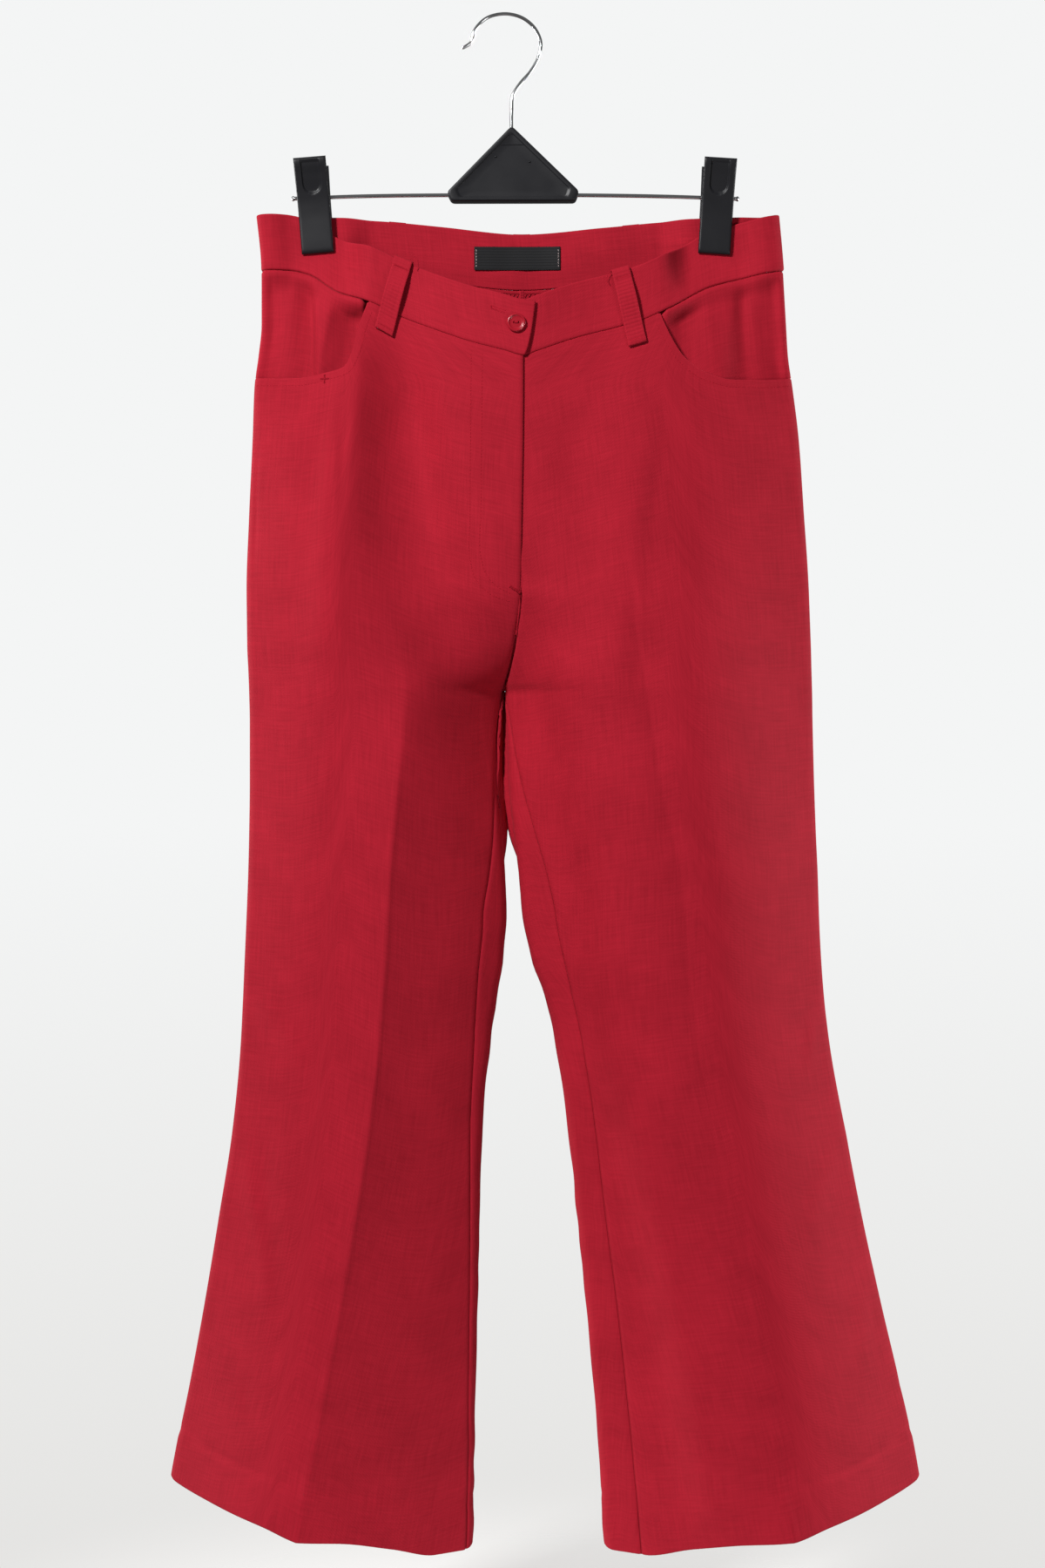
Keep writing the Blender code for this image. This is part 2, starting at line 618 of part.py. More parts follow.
def make_facings(cloth):
    """The pieces inside the pocket openings: flush at the side and waist seams, behind the front elsewhere."""
    for side, half in HALVES.items():
        pocket = RIGHT_POCKET if side == "right" else LEFT_POCKET
        inner_end = pocket[-1][0] if side == "right" else pocket[0][0]
        inner_turn = half.turn_at(np.array(inner_end - half.out * FACING_UNDER), FACING_TURN_LEVEL)
        turn = SIDE_SEAM + (inner_turn - SIDE_SEAM) * FACING_ACROSS
        top = edge_height(half, turn, FACING_START, lambda x: waist_height(x, True))
        upper = top + (FACING_LEVEL - top) * FACING_DOWN[:, None]
        lower = FACING_LEVEL + (FACING_BOTTOM - FACING_LEVEL) * FACING_BELOW[:, None]
        height = np.concatenate([upper, np.broadcast_to(lower, (len(lower), len(turn)))])
        turn = np.broadcast_to(turn, height.shape)
        points = half.points(turn, height)
        normals = half.normals(turn, height)
        x = points[..., 0]
        from_side = np.abs(x - half.section("side_x", height))
        up, across = FACING_SIDE_FADES
        beside_seam = smoothstep((height - FACING_LEVEL) / up) * (1 - smoothstep(from_side / across))
        from_end = (x - inner_end) * half.out - FACING_END_OFFSET
        across, down = FACING_END_FADES
        under_band = smoothstep(from_end / across) * (1 - smoothstep((top - height) / down))
        sunk = (1 - beside_seam) * (1 - under_band)
        sink = (FACING_SINK * sunk + fold_depth(side + "_facing", x, height) * sunk)[..., None]
        edges = ("first_row", "first_column")
        outer = draw_in(points - normals * sink, edges, WAIST_GAP)
        inner = draw_in(points - normals * (sink + FACING_WALL), edges, WAIST_GAP)
        wall_object(f"pocket_facing_{side}", outer, inner, cloth, flip=grid_flip(half, turn))


def band_grids(half, turn, front):
    """Turn and height grids of a waistband, from its top edge to the waist seam."""
    start = FRONT_START if front else BACK_START
    seam = edge_height(half, turn, start, lambda x: waist_height(x, front))
    rise = np.linspace(1, 0, BAND_ROWS)[:, None]
    height = seam[None, :] + BAND_HEIGHT * rise
    return np.broadcast_to(turn, height.shape), height


def band_faces(half, turn, height):
    points = half.points(turn, height)
    normals = half.normals(turn, height)
    return points + normals * BAND_PROUD, points + normals * (BAND_PROUD - BAND_WALL)


def seamed(grid, edges):
    """A band's grid, drawn back from the seams that it shares."""
    grid = draw_in(grid, [edge for edge in edges if edge == "last_row"], WAIST_GAP / 2)
    return draw_in(grid, [edge for edge in edges if edge != "last_row"], SEAM_GAP / 2)


def make_waistbands(cloth):
    rise = np.linspace(1, 0, BAND_ROWS)[:, None]
    tip = np.concatenate([BAND_TIP[0] * np.sqrt(rise), BAND_TIP[1] * rise, BAND_TIP[2] * rise], axis=1)
    under = np.array(UNDERLAP) + 0 * rise
    for side, half in HALVES.items():
        turn = front_columns(half, np.array([FRONT_START]))[0]
        end = tip if side == "right" else under
        faces = []
        for face in band_faces(half, *band_grids(half, turn, True)):
            last = face[:, -1:]
            face = np.concatenate([face, last + 0.5 * end[:, None], last + end[:, None]], axis=1)
            faces.append(seamed(face, ("last_row", "first_column")))
        wall_object(f"waistband_front_{side}", *faces, cloth, flip=half.out > 0)
    halves = []
    for side, half in HALVES.items():
        turn = back_columns(half, np.array([FRONT_START]))[0]
        faces = band_faces(half, *band_grids(half, turn, False))
        halves.append([face if side == "right" else face[:, -2::-1] for face in faces])
    whole = [np.concatenate(pair, axis=1) for pair in zip(*halves)]
    edges = ("last_row", "first_column", "last_column")
    wall_object("waistband_back", *[seamed(face, edges) for face in whole], cloth, flip=True)


def face_at(x, height, front):
    """Points and normals of the front or back at these x, taking each from its own half."""
    found = []
    for half in HALVES.values():
        turn = half.turn_at(x, height, front)
        found.append((half.points(turn, height), half.normals(turn, height)))
    centre = HALVES["right"].section("front_seam_x" if front else "back_seam_x", height)
    right = (x < centre)[..., None]
    return np.where(right, found[0][0], found[1][0]), np.where(right, found[0][1], found[1][1])


def path_normals(path):
    """Unit normals of a path of (height, stand-off), pointing away from the garment."""
    along = np.gradient(path, axis=0)
    along /= np.linalg.norm(along, axis=1, keepdims=True)
    return np.stack([along[:, 1], -along[:, 0]], axis=1)


def make_loop(name, top_x, bottom_x, front, cloth):
    """A belt loop: folded over the band's top edge, a little proud of it, and sewn under the waist seam."""
    seam = waist_height(np.array((top_x + bottom_x) / 2), front)
    path = np.array([(row[0], row[1]) for row in LOOP_PATH])
    normal = path_normals(path)
    width = np.array([-0.5, 0, 0.5]) * LOOP_WIDTH
    faces = []
    for shift in (LOOP_WALL / 2, -LOOP_WALL / 2):
        line = path + normal * shift
        share = (BAND_HEIGHT - line[:, 0]) / (BAND_HEIGHT + LOOP_TAIL)
        x = top_x + (bottom_x - top_x) * share[:, None] + width
        height = seam + line[:, 0][:, None] + 0 * x
        height = height + (waist_height(x, front) - seam)
        points, normals = face_at(x, height, front)
        faces.append(points + normals * line[:, 1][:, None, None])
    wall_object(name, *faces, cloth, flip=not front)


def make_loops(cloth):
    for name, top_x, bottom_x, front in LOOPS:
        make_loop(f"belt_loop_{name}", top_x, bottom_x, front, cloth)


def make_label(surface):
    x = LABEL_X + np.linspace(-0.5, 0.5, 9)[None, :] * LABEL_SIZE[0]
    height = LABEL_TOP - np.array([0, 0.5, 1])[:, None] * LABEL_SIZE[1]
    x, height = np.broadcast_arrays(x, height)
    points, normals = face_at(x, height, False)
    behind = BAND_WALL - BAND_PROUD + SEAM_GAP
    outer = points - normals * behind
    inner = points - normals * (behind + LABEL_WALL)
    wall_object("label", outer, inner, surface, flip=True)


def make_zip(tape, metal):
    """The zip's tape behind the fly and its slider, closed at the top."""
    left = HALVES["left"]
    height = ZIP_TOP - np.linspace(0, 1, 10)[:, None] * ZIP_LENGTH
    x = ZIP_X + np.array([-0.5, 0, 0.5])[None, :] * ZIP_WIDTH
    x, height = np.broadcast_arrays(x, height)
    seam_y = left.depth("front_seam_y", height)
    outer = np.stack([x, seam_y + ZIP_DEPTH, height], axis=-1)
    inner = outer + np.array([0, ZIP_WALL, 0])
    wall_object("fly_zip", outer, inner, tape, flip=False)
    slider_length = -min(row[1] for row in ZIP_SLIDER)
    ends = left.depth("front_seam_y", np.array([ZIP_SLIDER_TOP, ZIP_SLIDER_TOP - slider_length]))
    slider = plate("fly_zip_slider", ZIP_SLIDER, ZIP_SLIDER_THICK, metal)
    slider.location = (ZIP_SLIDER_X * MM, (ends[0] + ZIP_SLIDER_DEPTH) * MM, ZIP_SLIDER_TOP * MM)
    slider.rotation_euler = (-math.atan2(ends[0] - ends[1], slider_length), 0, 0)
    bevel(slider, ZIP_SLIDER_EDGE)


def plate(name, outline, thick, surface, along="y", linked=True):
    """A flat plate of an upright outline, as thick as given along y or x."""
    mesh = bpy.data.meshes.new(name)
    shape = bmesh.new()
    if along == "y":
        corners = [shape.verts.new((a * MM, -thick / 2 * MM, z * MM)) for a, z in outline]
        vector = (0, thick * MM, 0)
    else:
        corners = [shape.verts.new((-thick / 2 * MM, a * MM, z * MM)) for a, z in outline]
        vector = (thick * MM, 0, 0)
    face = shape.faces.new(corners)
    raised = bmesh.ops.extrude_face_region(shape, geom=[face])["geom"]
    moved = [item for item in raised if isinstance(item, bmesh.types.BMVert)]
    bmesh.ops.translate(shape, verts=moved, vec=vector)
    bmesh.ops.recalc_face_normals(shape, faces=shape.faces)
    shape.to_mesh(mesh)
    shape.free()
    if linked:
        return add_object(name, mesh, surface)
    return cutter(name, mesh)


def cutter(name, mesh):
    made = bpy.data.objects.new(name, mesh)
    made.hide_render = True
    made.display_type = "WIRE"
    CUTTERS.objects.link(made)
    return made


def cylinder(name, radius, length):
    mesh = bpy.data.meshes.new(name)
    shape = bmesh.new()
    size = radius * MM
    bmesh.ops.create_cone(
        shape, cap_ends=True, segments=ROUND_SEGMENTS, radius1=size, radius2=size, depth=length * MM
    )
    shape.to_mesh(mesh)
    shape.free()
    return mesh


def rod_cutter(name, radius, length, location, axis):
    """A cylinder that cuts a bore: its length runs along the named axis."""
    turns = {"x": (0, math.pi / 2, 0), "y": (math.pi / 2, 0, 0), "z": (0, 0, 0)}
    made = cutter(name, cylinder(name, radius, length))
    made.rotation_euler = turns[axis]
    made.location = [value * MM for value in location]
    return made


def cut(target, tool):
    modifier = target.modifiers.new("cut_" + tool.name, "BOOLEAN")
    modifier.operation = "DIFFERENCE"
    modifier.object = tool


def bevel(target, width, segments=2):
    modifier = target.modifiers.new("rounded_edges", "BEVEL")
    modifier.width = width * MM
    modifier.segments = segments
    modifier.limit_method = "ANGLE"
    modifier.angle_limit = BEVEL_ANGLE


def wire(name, route, radius, surface, end_swell=1.0, count=32):
    """A round wire through a route of (x, z) points in the plane y = 0, on a smooth curve."""
    route = np.array(route, float)
    reach = np.concatenate([[0], np.cumsum(np.linalg.norm(np.diff(route, axis=0), axis=1))])
    length = reach[-1]
    cap = END_NUB_LENGTH
    middle = np.linspace(cap + SEAM_GAP, length - cap - SEAM_GAP, count - 4)
    at = np.concatenate([[0, cap], middle, [length - cap, length]])
    slopes = np.gradient(route, reach, axis=0)
    i = np.clip(np.searchsorted(reach, at, side="right") - 1, 0, len(reach) - 2)
    step = (reach[i + 1] - reach[i])[:, None]
    t = ((at - reach[i])[:, None]) / step
    smooth = (
        route[i] * (1 + 2 * t) * (1 - t) ** 2
        + step * slopes[i] * t * (1 - t) ** 2
        + route[i + 1] * t**2 * (3 - 2 * t)
        + step * slopes[i + 1] * t**2 * (t - 1)
    )
    curve = bpy.data.curves.new(name, "CURVE")
    curve.dimensions = "3D"
    curve.bevel_depth = radius * MM
    curve.bevel_resolution = 2
    curve.use_fill_caps = True
    spline = curve.splines.new("POLY")
    spline.points.add(count - 1)
    for point, (x, z) in zip(spline.points, smooth):
        point.co = (x * MM, 0, z * MM, 1)
    for end in (0, 1, -1, -2):
        spline.points[end].radius = end_swell
    return add_object(name, curve, surface)


def make_button(surface):
    """Two-hole button: a turned disc with a raised rim, pierced twice, lying on the band."""
    mesh = bpy.data.meshes.new("button")
    profile = [(r * MM, 0, z * MM) for r, z in BUTTON_PROFILE]
    mesh.from_pydata(profile, [(i, i + 1) for i in range(len(profile) - 1)], [])
    button = add_object("button", mesh, surface)
    turned = button.modifiers.new("turned", "SCREW")
    turned.steps = turned.render_steps = BUTTON_STEPS
    turned.use_merge_vertices = True
    turned.merge_threshold = 1e-5
    points, normals = face_at(np.array(BUTTON_X), np.array(BUTTON_HEIGHT), True)
    seat = points + normals * (BAND_PROUD + SEAM_GAP)
    button.location = seat * MM
    button.rotation_euler = (math.pi / 2, 0, 0)
    for index, across in enumerate((-BUTTON_HOLE_APART / 2, BUTTON_HOLE_APART / 2)):
        place = (seat[0] + across, seat[1] - BUTTON_THICK / 2, seat[2])
        cut(button, rod_cutter(f"button_hole_{index}", BUTTON_HOLE_RADIUS, 4 * BUTTON_THICK, place, "y"))


def make_hanger(metal, plastic):
    wire("hanger_hook", HOOK_ROUTE, WIRE_RADIUS, metal)
    wire("hanger_rod", ROD_ROUTE, ROD_RADIUS, metal, end_swell=ROD_NUB_SWELL, count=20)
    hub = plate("hanger_hub", HUB_OUTLINE, HUB_THICK, plastic)
    middle = np.mean(HUB_OUTLINE, axis=0)
    recess = middle + (np.array(HUB_OUTLINE) - middle) * HUB_RECESS_SHARE
    for index, side in enumerate((-1, 1)):
        tool = plate(f"hub_recess_{index}", recess.tolist(), 2 * HUB_RECESS_DEPTH, plastic, linked=False)
        tool.location = (0, side * HUB_THICK / 2 * MM, 0)
        cut(hub, tool)
    stem_top, stem_end = HUB_OUTLINE[0][1], HOOK_ROUTE[-1][1] - SEAM_GAP
    stem = (HOOK_ROUTE[-1][0], 0, stem_end + STEM_BORE_LENGTH / 2)
    cut(hub, rod_cutter("hub_stem_bore", WIRE_RADIUS + SEAM_GAP, STEM_BORE_LENGTH, stem, "z"))
    rod_centre = (HUB_OUTLINE[0][0], 0, ROD_ROUTE[2][1])
    cut(hub, rod_cutter("hub_rod_bore", ROD_RADIUS + SEAM_GAP, ROD_BORE_LENGTH, rod_centre, "x"))


def make_clips(metal, plastic):
    for side, lower_x, upper_x, upper_height in CLIPS:
        lean = math.atan2(upper_x - lower_x, JAW_LENGTH)
        lower_height = upper_height - JAW_LENGTH
        for face, away in (("front", -1), ("back", 1)):
            outline = [(away * depth, rise) for depth, rise in JAW_PROFILE]
            jaw = plate(f"clip_{side}_{face}", outline, JAW_WIDTH, plastic, along="x")
            jaw.location = (lower_x * MM, 0, lower_height * MM)
            jaw.rotation_euler = (0, lean, 0)
            bevel(jaw, JAW_EDGE)
        rod_x, rod_z = np.array(ROD_ROUTE).T
        spring_x = lower_x + math.tan(lean) * (np.interp(lower_x, rod_x, rod_z) - lower_height)
        place = (float(spring_x), 0, float(np.interp(spring_x, rod_x, rod_z)))
        name = f"clip_{side}_spring"
        spring = add_object(name, cylinder(name, SPRING_RADIUS, SPRING_LENGTH), metal)
        spring.location = [value * MM for value in place]
        spring.rotation_euler = (0, math.pi / 2, 0)
        bore = ROD_RADIUS + 2 * SEAM_GAP
        cut(spring, rod_cutter(name + "_bore", bore, 2 * SPRING_LENGTH, place, "x"))


def main():
    cloth, tape, woven, gloss, metal, plastic = [material(name) for name in FINISHES]
    make_fronts(cloth)
    make_backs(cloth)
    make_facings(cloth)
    make_waistbands(cloth)
    make_loops(cloth)
    make_label(woven)
    make_zip(tape, metal)
    make_button(gloss)
    make_hanger(metal, plastic)
    make_clips(metal, plastic)


clear_scene()
PARTS = collection_for("dress_trousers")
CUTTERS = collection_for("cutters")
main()
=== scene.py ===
# %% [markdown]
# # Flared dress trousers on a clip hanger
#
# A pair of red suiting trousers hangs flat from the two clips of a wire and plastic hanger. Two tables of
# measurements, one for each side, describe the whole garment: every panel, band and stitch asks the same function
# where the cloth is. That keeps the pieces joined wherever a fold moves the cloth.

import math

import bpy
import numpy as np
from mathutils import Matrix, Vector


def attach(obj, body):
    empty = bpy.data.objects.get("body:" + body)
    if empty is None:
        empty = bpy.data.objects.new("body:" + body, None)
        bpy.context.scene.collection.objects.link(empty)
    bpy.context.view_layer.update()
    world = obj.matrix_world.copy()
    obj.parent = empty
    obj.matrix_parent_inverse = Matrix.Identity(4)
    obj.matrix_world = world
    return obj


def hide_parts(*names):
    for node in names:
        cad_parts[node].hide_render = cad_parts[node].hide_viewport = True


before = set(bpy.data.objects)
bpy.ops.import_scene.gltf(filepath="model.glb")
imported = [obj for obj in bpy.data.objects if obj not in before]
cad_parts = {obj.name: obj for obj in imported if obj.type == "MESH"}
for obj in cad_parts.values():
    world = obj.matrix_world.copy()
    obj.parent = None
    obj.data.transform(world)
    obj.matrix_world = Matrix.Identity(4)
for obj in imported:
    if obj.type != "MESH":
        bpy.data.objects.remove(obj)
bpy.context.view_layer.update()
MM = 0.001
TAU = 2 * np.pi
print("CAD nodes:", len(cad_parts))

# %% [markdown]
# ## Camera, light and floor
#
# The camera looks straight at the middle of the trousers from 1.75 m. Cloth of one dark colour shows its shape only
# through shading, so the main light is a small one high at the left that rakes over the folds. Two tall windows draw
# the edges, a weak lamp low at the right opens the shadows, and the world adds an even white. The floor fades out at
# its rim, so no horizon crosses the picture.

# %% Camera
LENS_MM = 50.7
CAMERA_PLACE = (0.0117, -1.75, -0.609)
scene = bpy.context.scene
camera_data = bpy.data.cameras.new("camera")
camera_data.lens = LENS_MM
camera = bpy.data.objects.new("camera", camera_data)
camera.location = CAMERA_PLACE
camera.rotation_euler = (math.pi / 2, 0, 0)
scene.collection.objects.link(camera)
scene.camera = camera
print("camera at", CAMERA_PLACE)

# %% Lights
# A row is name, place, the point it looks at, width and height, power in watts, colour
LIGHTS = (
    ("window_left", (-2, 0.75, -0.35), (0, 0, -0.35), (0.3, 1.3), 34, (1, 0.995, 0.985)),
    ("window_right", (2, 0.3, -0.5), (0, 0, -0.5), (0.3, 1.3), 40, (0.98, 0.99, 1)),
    ("upper_left", (-1.45, -1.95, 1), (0, 0, -0.4), (0.4, 0.4), 94, (1, 1, 1)),
    ("low_right", (1.2, -1.5, -1.1), (0.1, 0, -0.9), (0.7, 0.5), 8, (1, 1, 1)),
)
for name, place, aim, size, power, colour in LIGHTS:
    data = bpy.data.lights.new(name, "AREA")
    data.shape, data.energy, data.color = "RECTANGLE", power, colour
    data.size, data.size_y = size
    light = bpy.data.objects.new(name, data)
    light.location = place
    light.rotation_euler = (Vector(aim) - Vector(place)).to_track_quat("-Z", "Y").to_euler()
    light.visible_camera = False
    scene.collection.objects.link(light)
print("lights:", len(LIGHTS))


def linear(code):
    """Linear colour of an sRGB hex code: each channel's curve undone, with alpha 1."""
    channels = np.array([int(code[i : i + 2], 16) for i in (1, 3, 5)]) / 255
    low, high = channels / 12.92, ((channels + 0.055) / 1.055) ** 2.4
    return (*np.where(channels <= 0.04045, low, high).tolist(), 1.0)


def feed(node, inputs):
    """Sets a node's inputs, each to a value or to another node's output. A node stands for its first output."""
    for key, value in inputs.items():
        if isinstance(value, bpy.types.Node):
            value = value.outputs[0]
        if isinstance(value, bpy.types.NodeSocket):
            node.id_data.links.new(value, node.inputs[key])
        else:
            node.inputs[key].default_value = value
    return node


def add_node(tree, kind, inputs=None, **settings):
    """One shader node with its settings and links."""
    made = tree.nodes.new("ShaderNode" + kind)
    for key, value in settings.items():
        setattr(made, key, value)
    return feed(made, inputs or {})


def new_material(name, slot, **values):
    """A material with its Principled shader set by socket names, written with _ for a space. Its slot is not used."""
    made = bpy.data.materials.new(name)
    made.use_nodes = True
    shader = made.node_tree.nodes["Principled BSDF"]
    return made, made.node_tree, feed(shader, {key.replace("_", " "): value for key, value in values.items()})


print("helpers ready")


# %% World and floor
FLOOR_Z = -1.36
FLOOR_RADIUS = 0.7
ROOM_LIGHT = 0.13
scene.view_settings.view_transform = "Standard"
scene.world = bpy.data.worlds.new("studio")
scene.world.use_nodes = True
tree = scene.world.node_tree
height = add_node(tree, "SeparateXYZ", {0: add_node(tree, "TexCoord")})
share = add_node(tree, "MapRange", {"Value": height.outputs["Z"], "From Min": -0.36, "From Max": -0.02})
ramp = add_node(tree, "ValToRGB", {"Fac": share})
ramp.color_ramp.elements[0].color = linear("#E3E2E0")
ramp.color_ramp.elements[1].color = linear("#F4F5F5")
camera_ray = add_node(tree, "LightPath").outputs["Is Camera Ray"]
seen = add_node(tree, "MapRange", {"Value": camera_ray, "To Min": ROOM_LIGHT, "To Max": 1.0})
feed(tree.nodes["Background"], {"Color": ramp, "Strength": seen})

floor_paint, tree, shader = new_material(
    "matt_floor_paint", "", Base_Color=linear("#F2F1F0"), Roughness=0.9, Emission_Color=linear("#E6E5E4"),
    Emission_Strength=0.15,
)
place = add_node(tree, "TexCoord").outputs["Object"]
radius = add_node(tree, "VectorMath", {0: place}, operation="LENGTH").outputs["Value"]
fade = add_node(tree, "MapRange", {
    "Value": radius, "From Min": 0.05, "From Max": FLOOR_RADIUS * 0.96, "To Min": 1.0, "To Max": 0.0},
    interpolation_type="SMOOTHSTEP")
feed(shader, {"Alpha": fade})
angle = np.linspace(0, 2 * np.pi, 96, endpoint=False)
rim = np.stack([np.cos(angle), np.sin(angle), 0 * angle], axis=1) * FLOOR_RADIUS
floor_mesh = bpy.data.meshes.new("floor")
floor_mesh.from_pydata(rim.tolist(), [], [range(len(angle))])
floor_mesh.materials.append(floor_paint)
floor = bpy.data.objects.new("floor", floor_mesh)
floor.location = (0, 0, FLOOR_Z)
scene.collection.objects.link(floor)
print("floor at", FLOOR_Z, "m")

# %% [markdown]
# ## The cloth as a surface of two parameters
#
# A leg is a tube, so a point on it has a turn round the leg and a height. The turn is 0 at the inner fold, 0.25 at
# the front crease, 0.5 at the side seam and 0.75 at the back crease. The tables below hold what a tailor measures:
# where the side, the creases and the seams lie at each height, in millimetres, and how deep the tube is there.
# Smooth curves run between the rows.

# %% Tables of sizes, in millimetres
SECTION_COLUMNS = ("height", "side_x", "crease_x", "front_seam_x", "back_seam_x", "strip")
RIGHT_SECTIONS = (
    (-150, -199.5, -105, 12.4, 11, 0), (-203, -195.5, -105, 12.4, 11, 0), (-245, -195.5, -106, 12.4, 11, 0),
    (-270, -198, -107, 12.4, 11, 0), (-295, -201.3, -108, 12.4, 11, 0), (-335, -202.8, -109, 12.2, 10.5, 0),
    (-400, -206, -108, 11.2, 10, 0), (-455, -208, -98, 10.2, 9, 0), (-500, -207.6, -84, 5.5, 5, 0),
    (-520, -206.8, -80, 1, 1, 0), (-536, -206.2, -79, -3.2, -3.2, 0), (-560, -205.8, -80, -6.6, -6.6, 1),
    (-610, -205.8, -85, -8.3, -8.3, 2), (-645, -206.3, -88, -4.8, -4.8, 6), (-680, -207.2, -91, -2, -2, 12),
    (-715, -208.6, -93, -0.8, -0.8, 18), (-750, -210.2, -95, -3.8, -3.8, 18), (-785, -211.8, -98, -9.4, -9.4, 15),
    (-820, -213.8, -101, -14.2, -14.2, 12), (-885, -220.5, -109, -20.1, -20.1, 9),
    (-955, -232, -120, -22.3, -22.3, 7), (-1025, -244.2, -132, -23.8, -23.8, 6),
    (-1095, -257.8, -145, -25.7, -25.7, 5), (-1145, -268.5, -154, -26.6, -26.6, 4),
    (-1175, -274, -160, -27.3, -27.3, 4), (-1220, -279, -167, -28.4, -28.4, 4),
)
LEFT_SECTIONS = (
    (-150, 214.5, 88, 4.4, 11, 0), (-203, 218.5, 88, 4.4, 11, 0), (-245, 221, 89, 4.4, 11, 0),
    (-270, 222.6, 90, 4.4, 11, 0), (-295, 226.2, 90, 4.4, 11, 0), (-335, 231.2, 91, 4.4, 10.5, 0),
    (-400, 236, 91, 4.4, 10, 0), (-430, 238.2, 93, 4.6, 9.6, 0), (-454, 239.6, 95, 10.7, 9.1, 0),
    (-500, 241.4, 101, 5.5, 5, 0), (-520, 242, 104, 1.1, 1.1, 0), (-536, 242.4, 107, -2.9, -2.9, 0),
    (-560, 242.8, 111, -1.2, -1.2, 2), (-610, 243.8, 119, 0.7, 0.7, 10), (-645, 244.8, 126, 4.3, 4.3, 16),
    (-680, 246, 134, 8.4, 8.4, 22), (-715, 247, 137, 11.6, 11.6, 26), (-750, 248.8, 139, 19.4, 19.4, 25),
    (-785, 251.6, 143, 31.4, 31.4, 21), (-820, 256, 149, 38.4, 38.4, 21), (-885, 268, 164, 48, 48, 21),
    (-955, 282.2, 178, 55.2, 55.2, 22), (-1025, 298.4, 192, 62.2, 62.2, 24), (-1095, 316, 205, 68.8, 68.8, 25),
    (-1145, 328, 211, 72.6, 72.6, 26), (-1175, 333.5, 218, 74.6, 74.6, 26), (-1220, 339, 228, 77.2, 77.2, 26),
)
DEPTH_COLUMNS = ("height", "side_y", "crease_y", "front_seam_y", "back_crease_y", "back_seam_y", "tuck", "press")
DEPTHS = (
    (-150, 0, -19, -33, 9, 13, 0, 0), (-203, 0, -20, -34, 12, 15, 0, 0), (-235, 0, -22, -35, 18, 20, 0, 0),
    (-270, 1, -27, -36, 28, 28, 0, 0), (-335, 2, -35, -38, 45, 42, 0, 0), (-400, 4, -41, -39, 60, 53, 0, 0),
    (-455, 5, -45, -35, 70, 59, 0.05, 0.05), (-480, 6, -47, -26, 74, 58, 0.24, 0.08),
    (-500, 6, -48, -14, 76, 56, 0.55, 0.1), (-520, 7, -49, 4, 78, 46, 0.88, 0.15),
    (-530, 7, -49.5, 15, 79, 35, 0.98, 0.18), (-536, 7, -50, 22, 79.5, 22, 1, 0.2),
    (-560, 8, -50, 21, 80, 21, 1, 0.25), (-610, 8, -50, 15, 78, 15, 1, 0.3), (-680, 9, -47, 10, 70, 10, 1, 0.35),
    (-750, 10, -44, 8, 62, 8, 1, 0.42), (-820, 12, -41, 8, 55, 8, 1, 0.46), (-885, 15, -40, 9, 53, 9, 1, 0.5),
    (-955, 20, -39, 11, 54, 11, 1, 0.55), (-1025, 26, -40, 13, 58, 13, 1, 0.55),
    (-1095, 33, -41, 15, 64, 15, 1, 0.55), (-1220, 43, -42, 18, 73, 18, 1, 0.55),
)
# Waist seam across the front and the back, and the two pocket edges: a row is x, height
FRONT_WAIST = (
    (-197, -203), (-173, -202.5), (-157, -206), (-134.6, -220.7), (-103, -233.4), (-83.5, -243.4), (-58, -254),
    (-29, -264.7), (-2.5, -272), (12.4, -276), (22, -272.5), (57, -260), (88, -251.3), (107, -245.2), (127, -235.5),
    (161.4, -216), (185, -209.5), (219, -202.5),
)
BACK_WAIST = (
    (-197, -203), (-110, -204.5), (-52, -209), (11, -214.5), (75, -210), (122, -206), (219, -202.5),
)
RIGHT_POCKET = (
    (-201, -288), (-163, -290.5), (-140, -287), (-127.5, -283), (-120.5, -268), (-116.5, -251), (-109.5, -231),
)
LEFT_POCKET = (
    (119.5, -240), (126.5, -256), (138.5, -275), (157.5, -287.5), (175.5, -291.5), (198, -291), (227, -288),
)
# Hem round a leg: a row is turn, height
HEM = (
    (0, -1216.5), (0.05, -1219.5), (0.105, -1219.5), (0.16, -1209.5), (0.205, -1201), (0.25, -1196.5),
    (0.29, -1189), (0.33, -1184), (0.38, -1178), (0.45, -1171.5), (0.5, -1168), (0.6, -1178), (0.75, -1197),
    (0.9, -1213), (1, -1216.5),
)
print("section rows:", len(RIGHT_SECTIONS), len(LEFT_SECTIONS), len(DEPTHS))

# %% [markdown]
# ## Folds and creases
#
# Hanging cloth is never smooth. The large folds are in the solid model too, the small ones only here. A row gives
# the ends, widths and depth of a soft trough, or of a ridge where the depth is negative. They are uneven on purpose,
# because even ones look printed. The hidden back gets creases of the same kind.

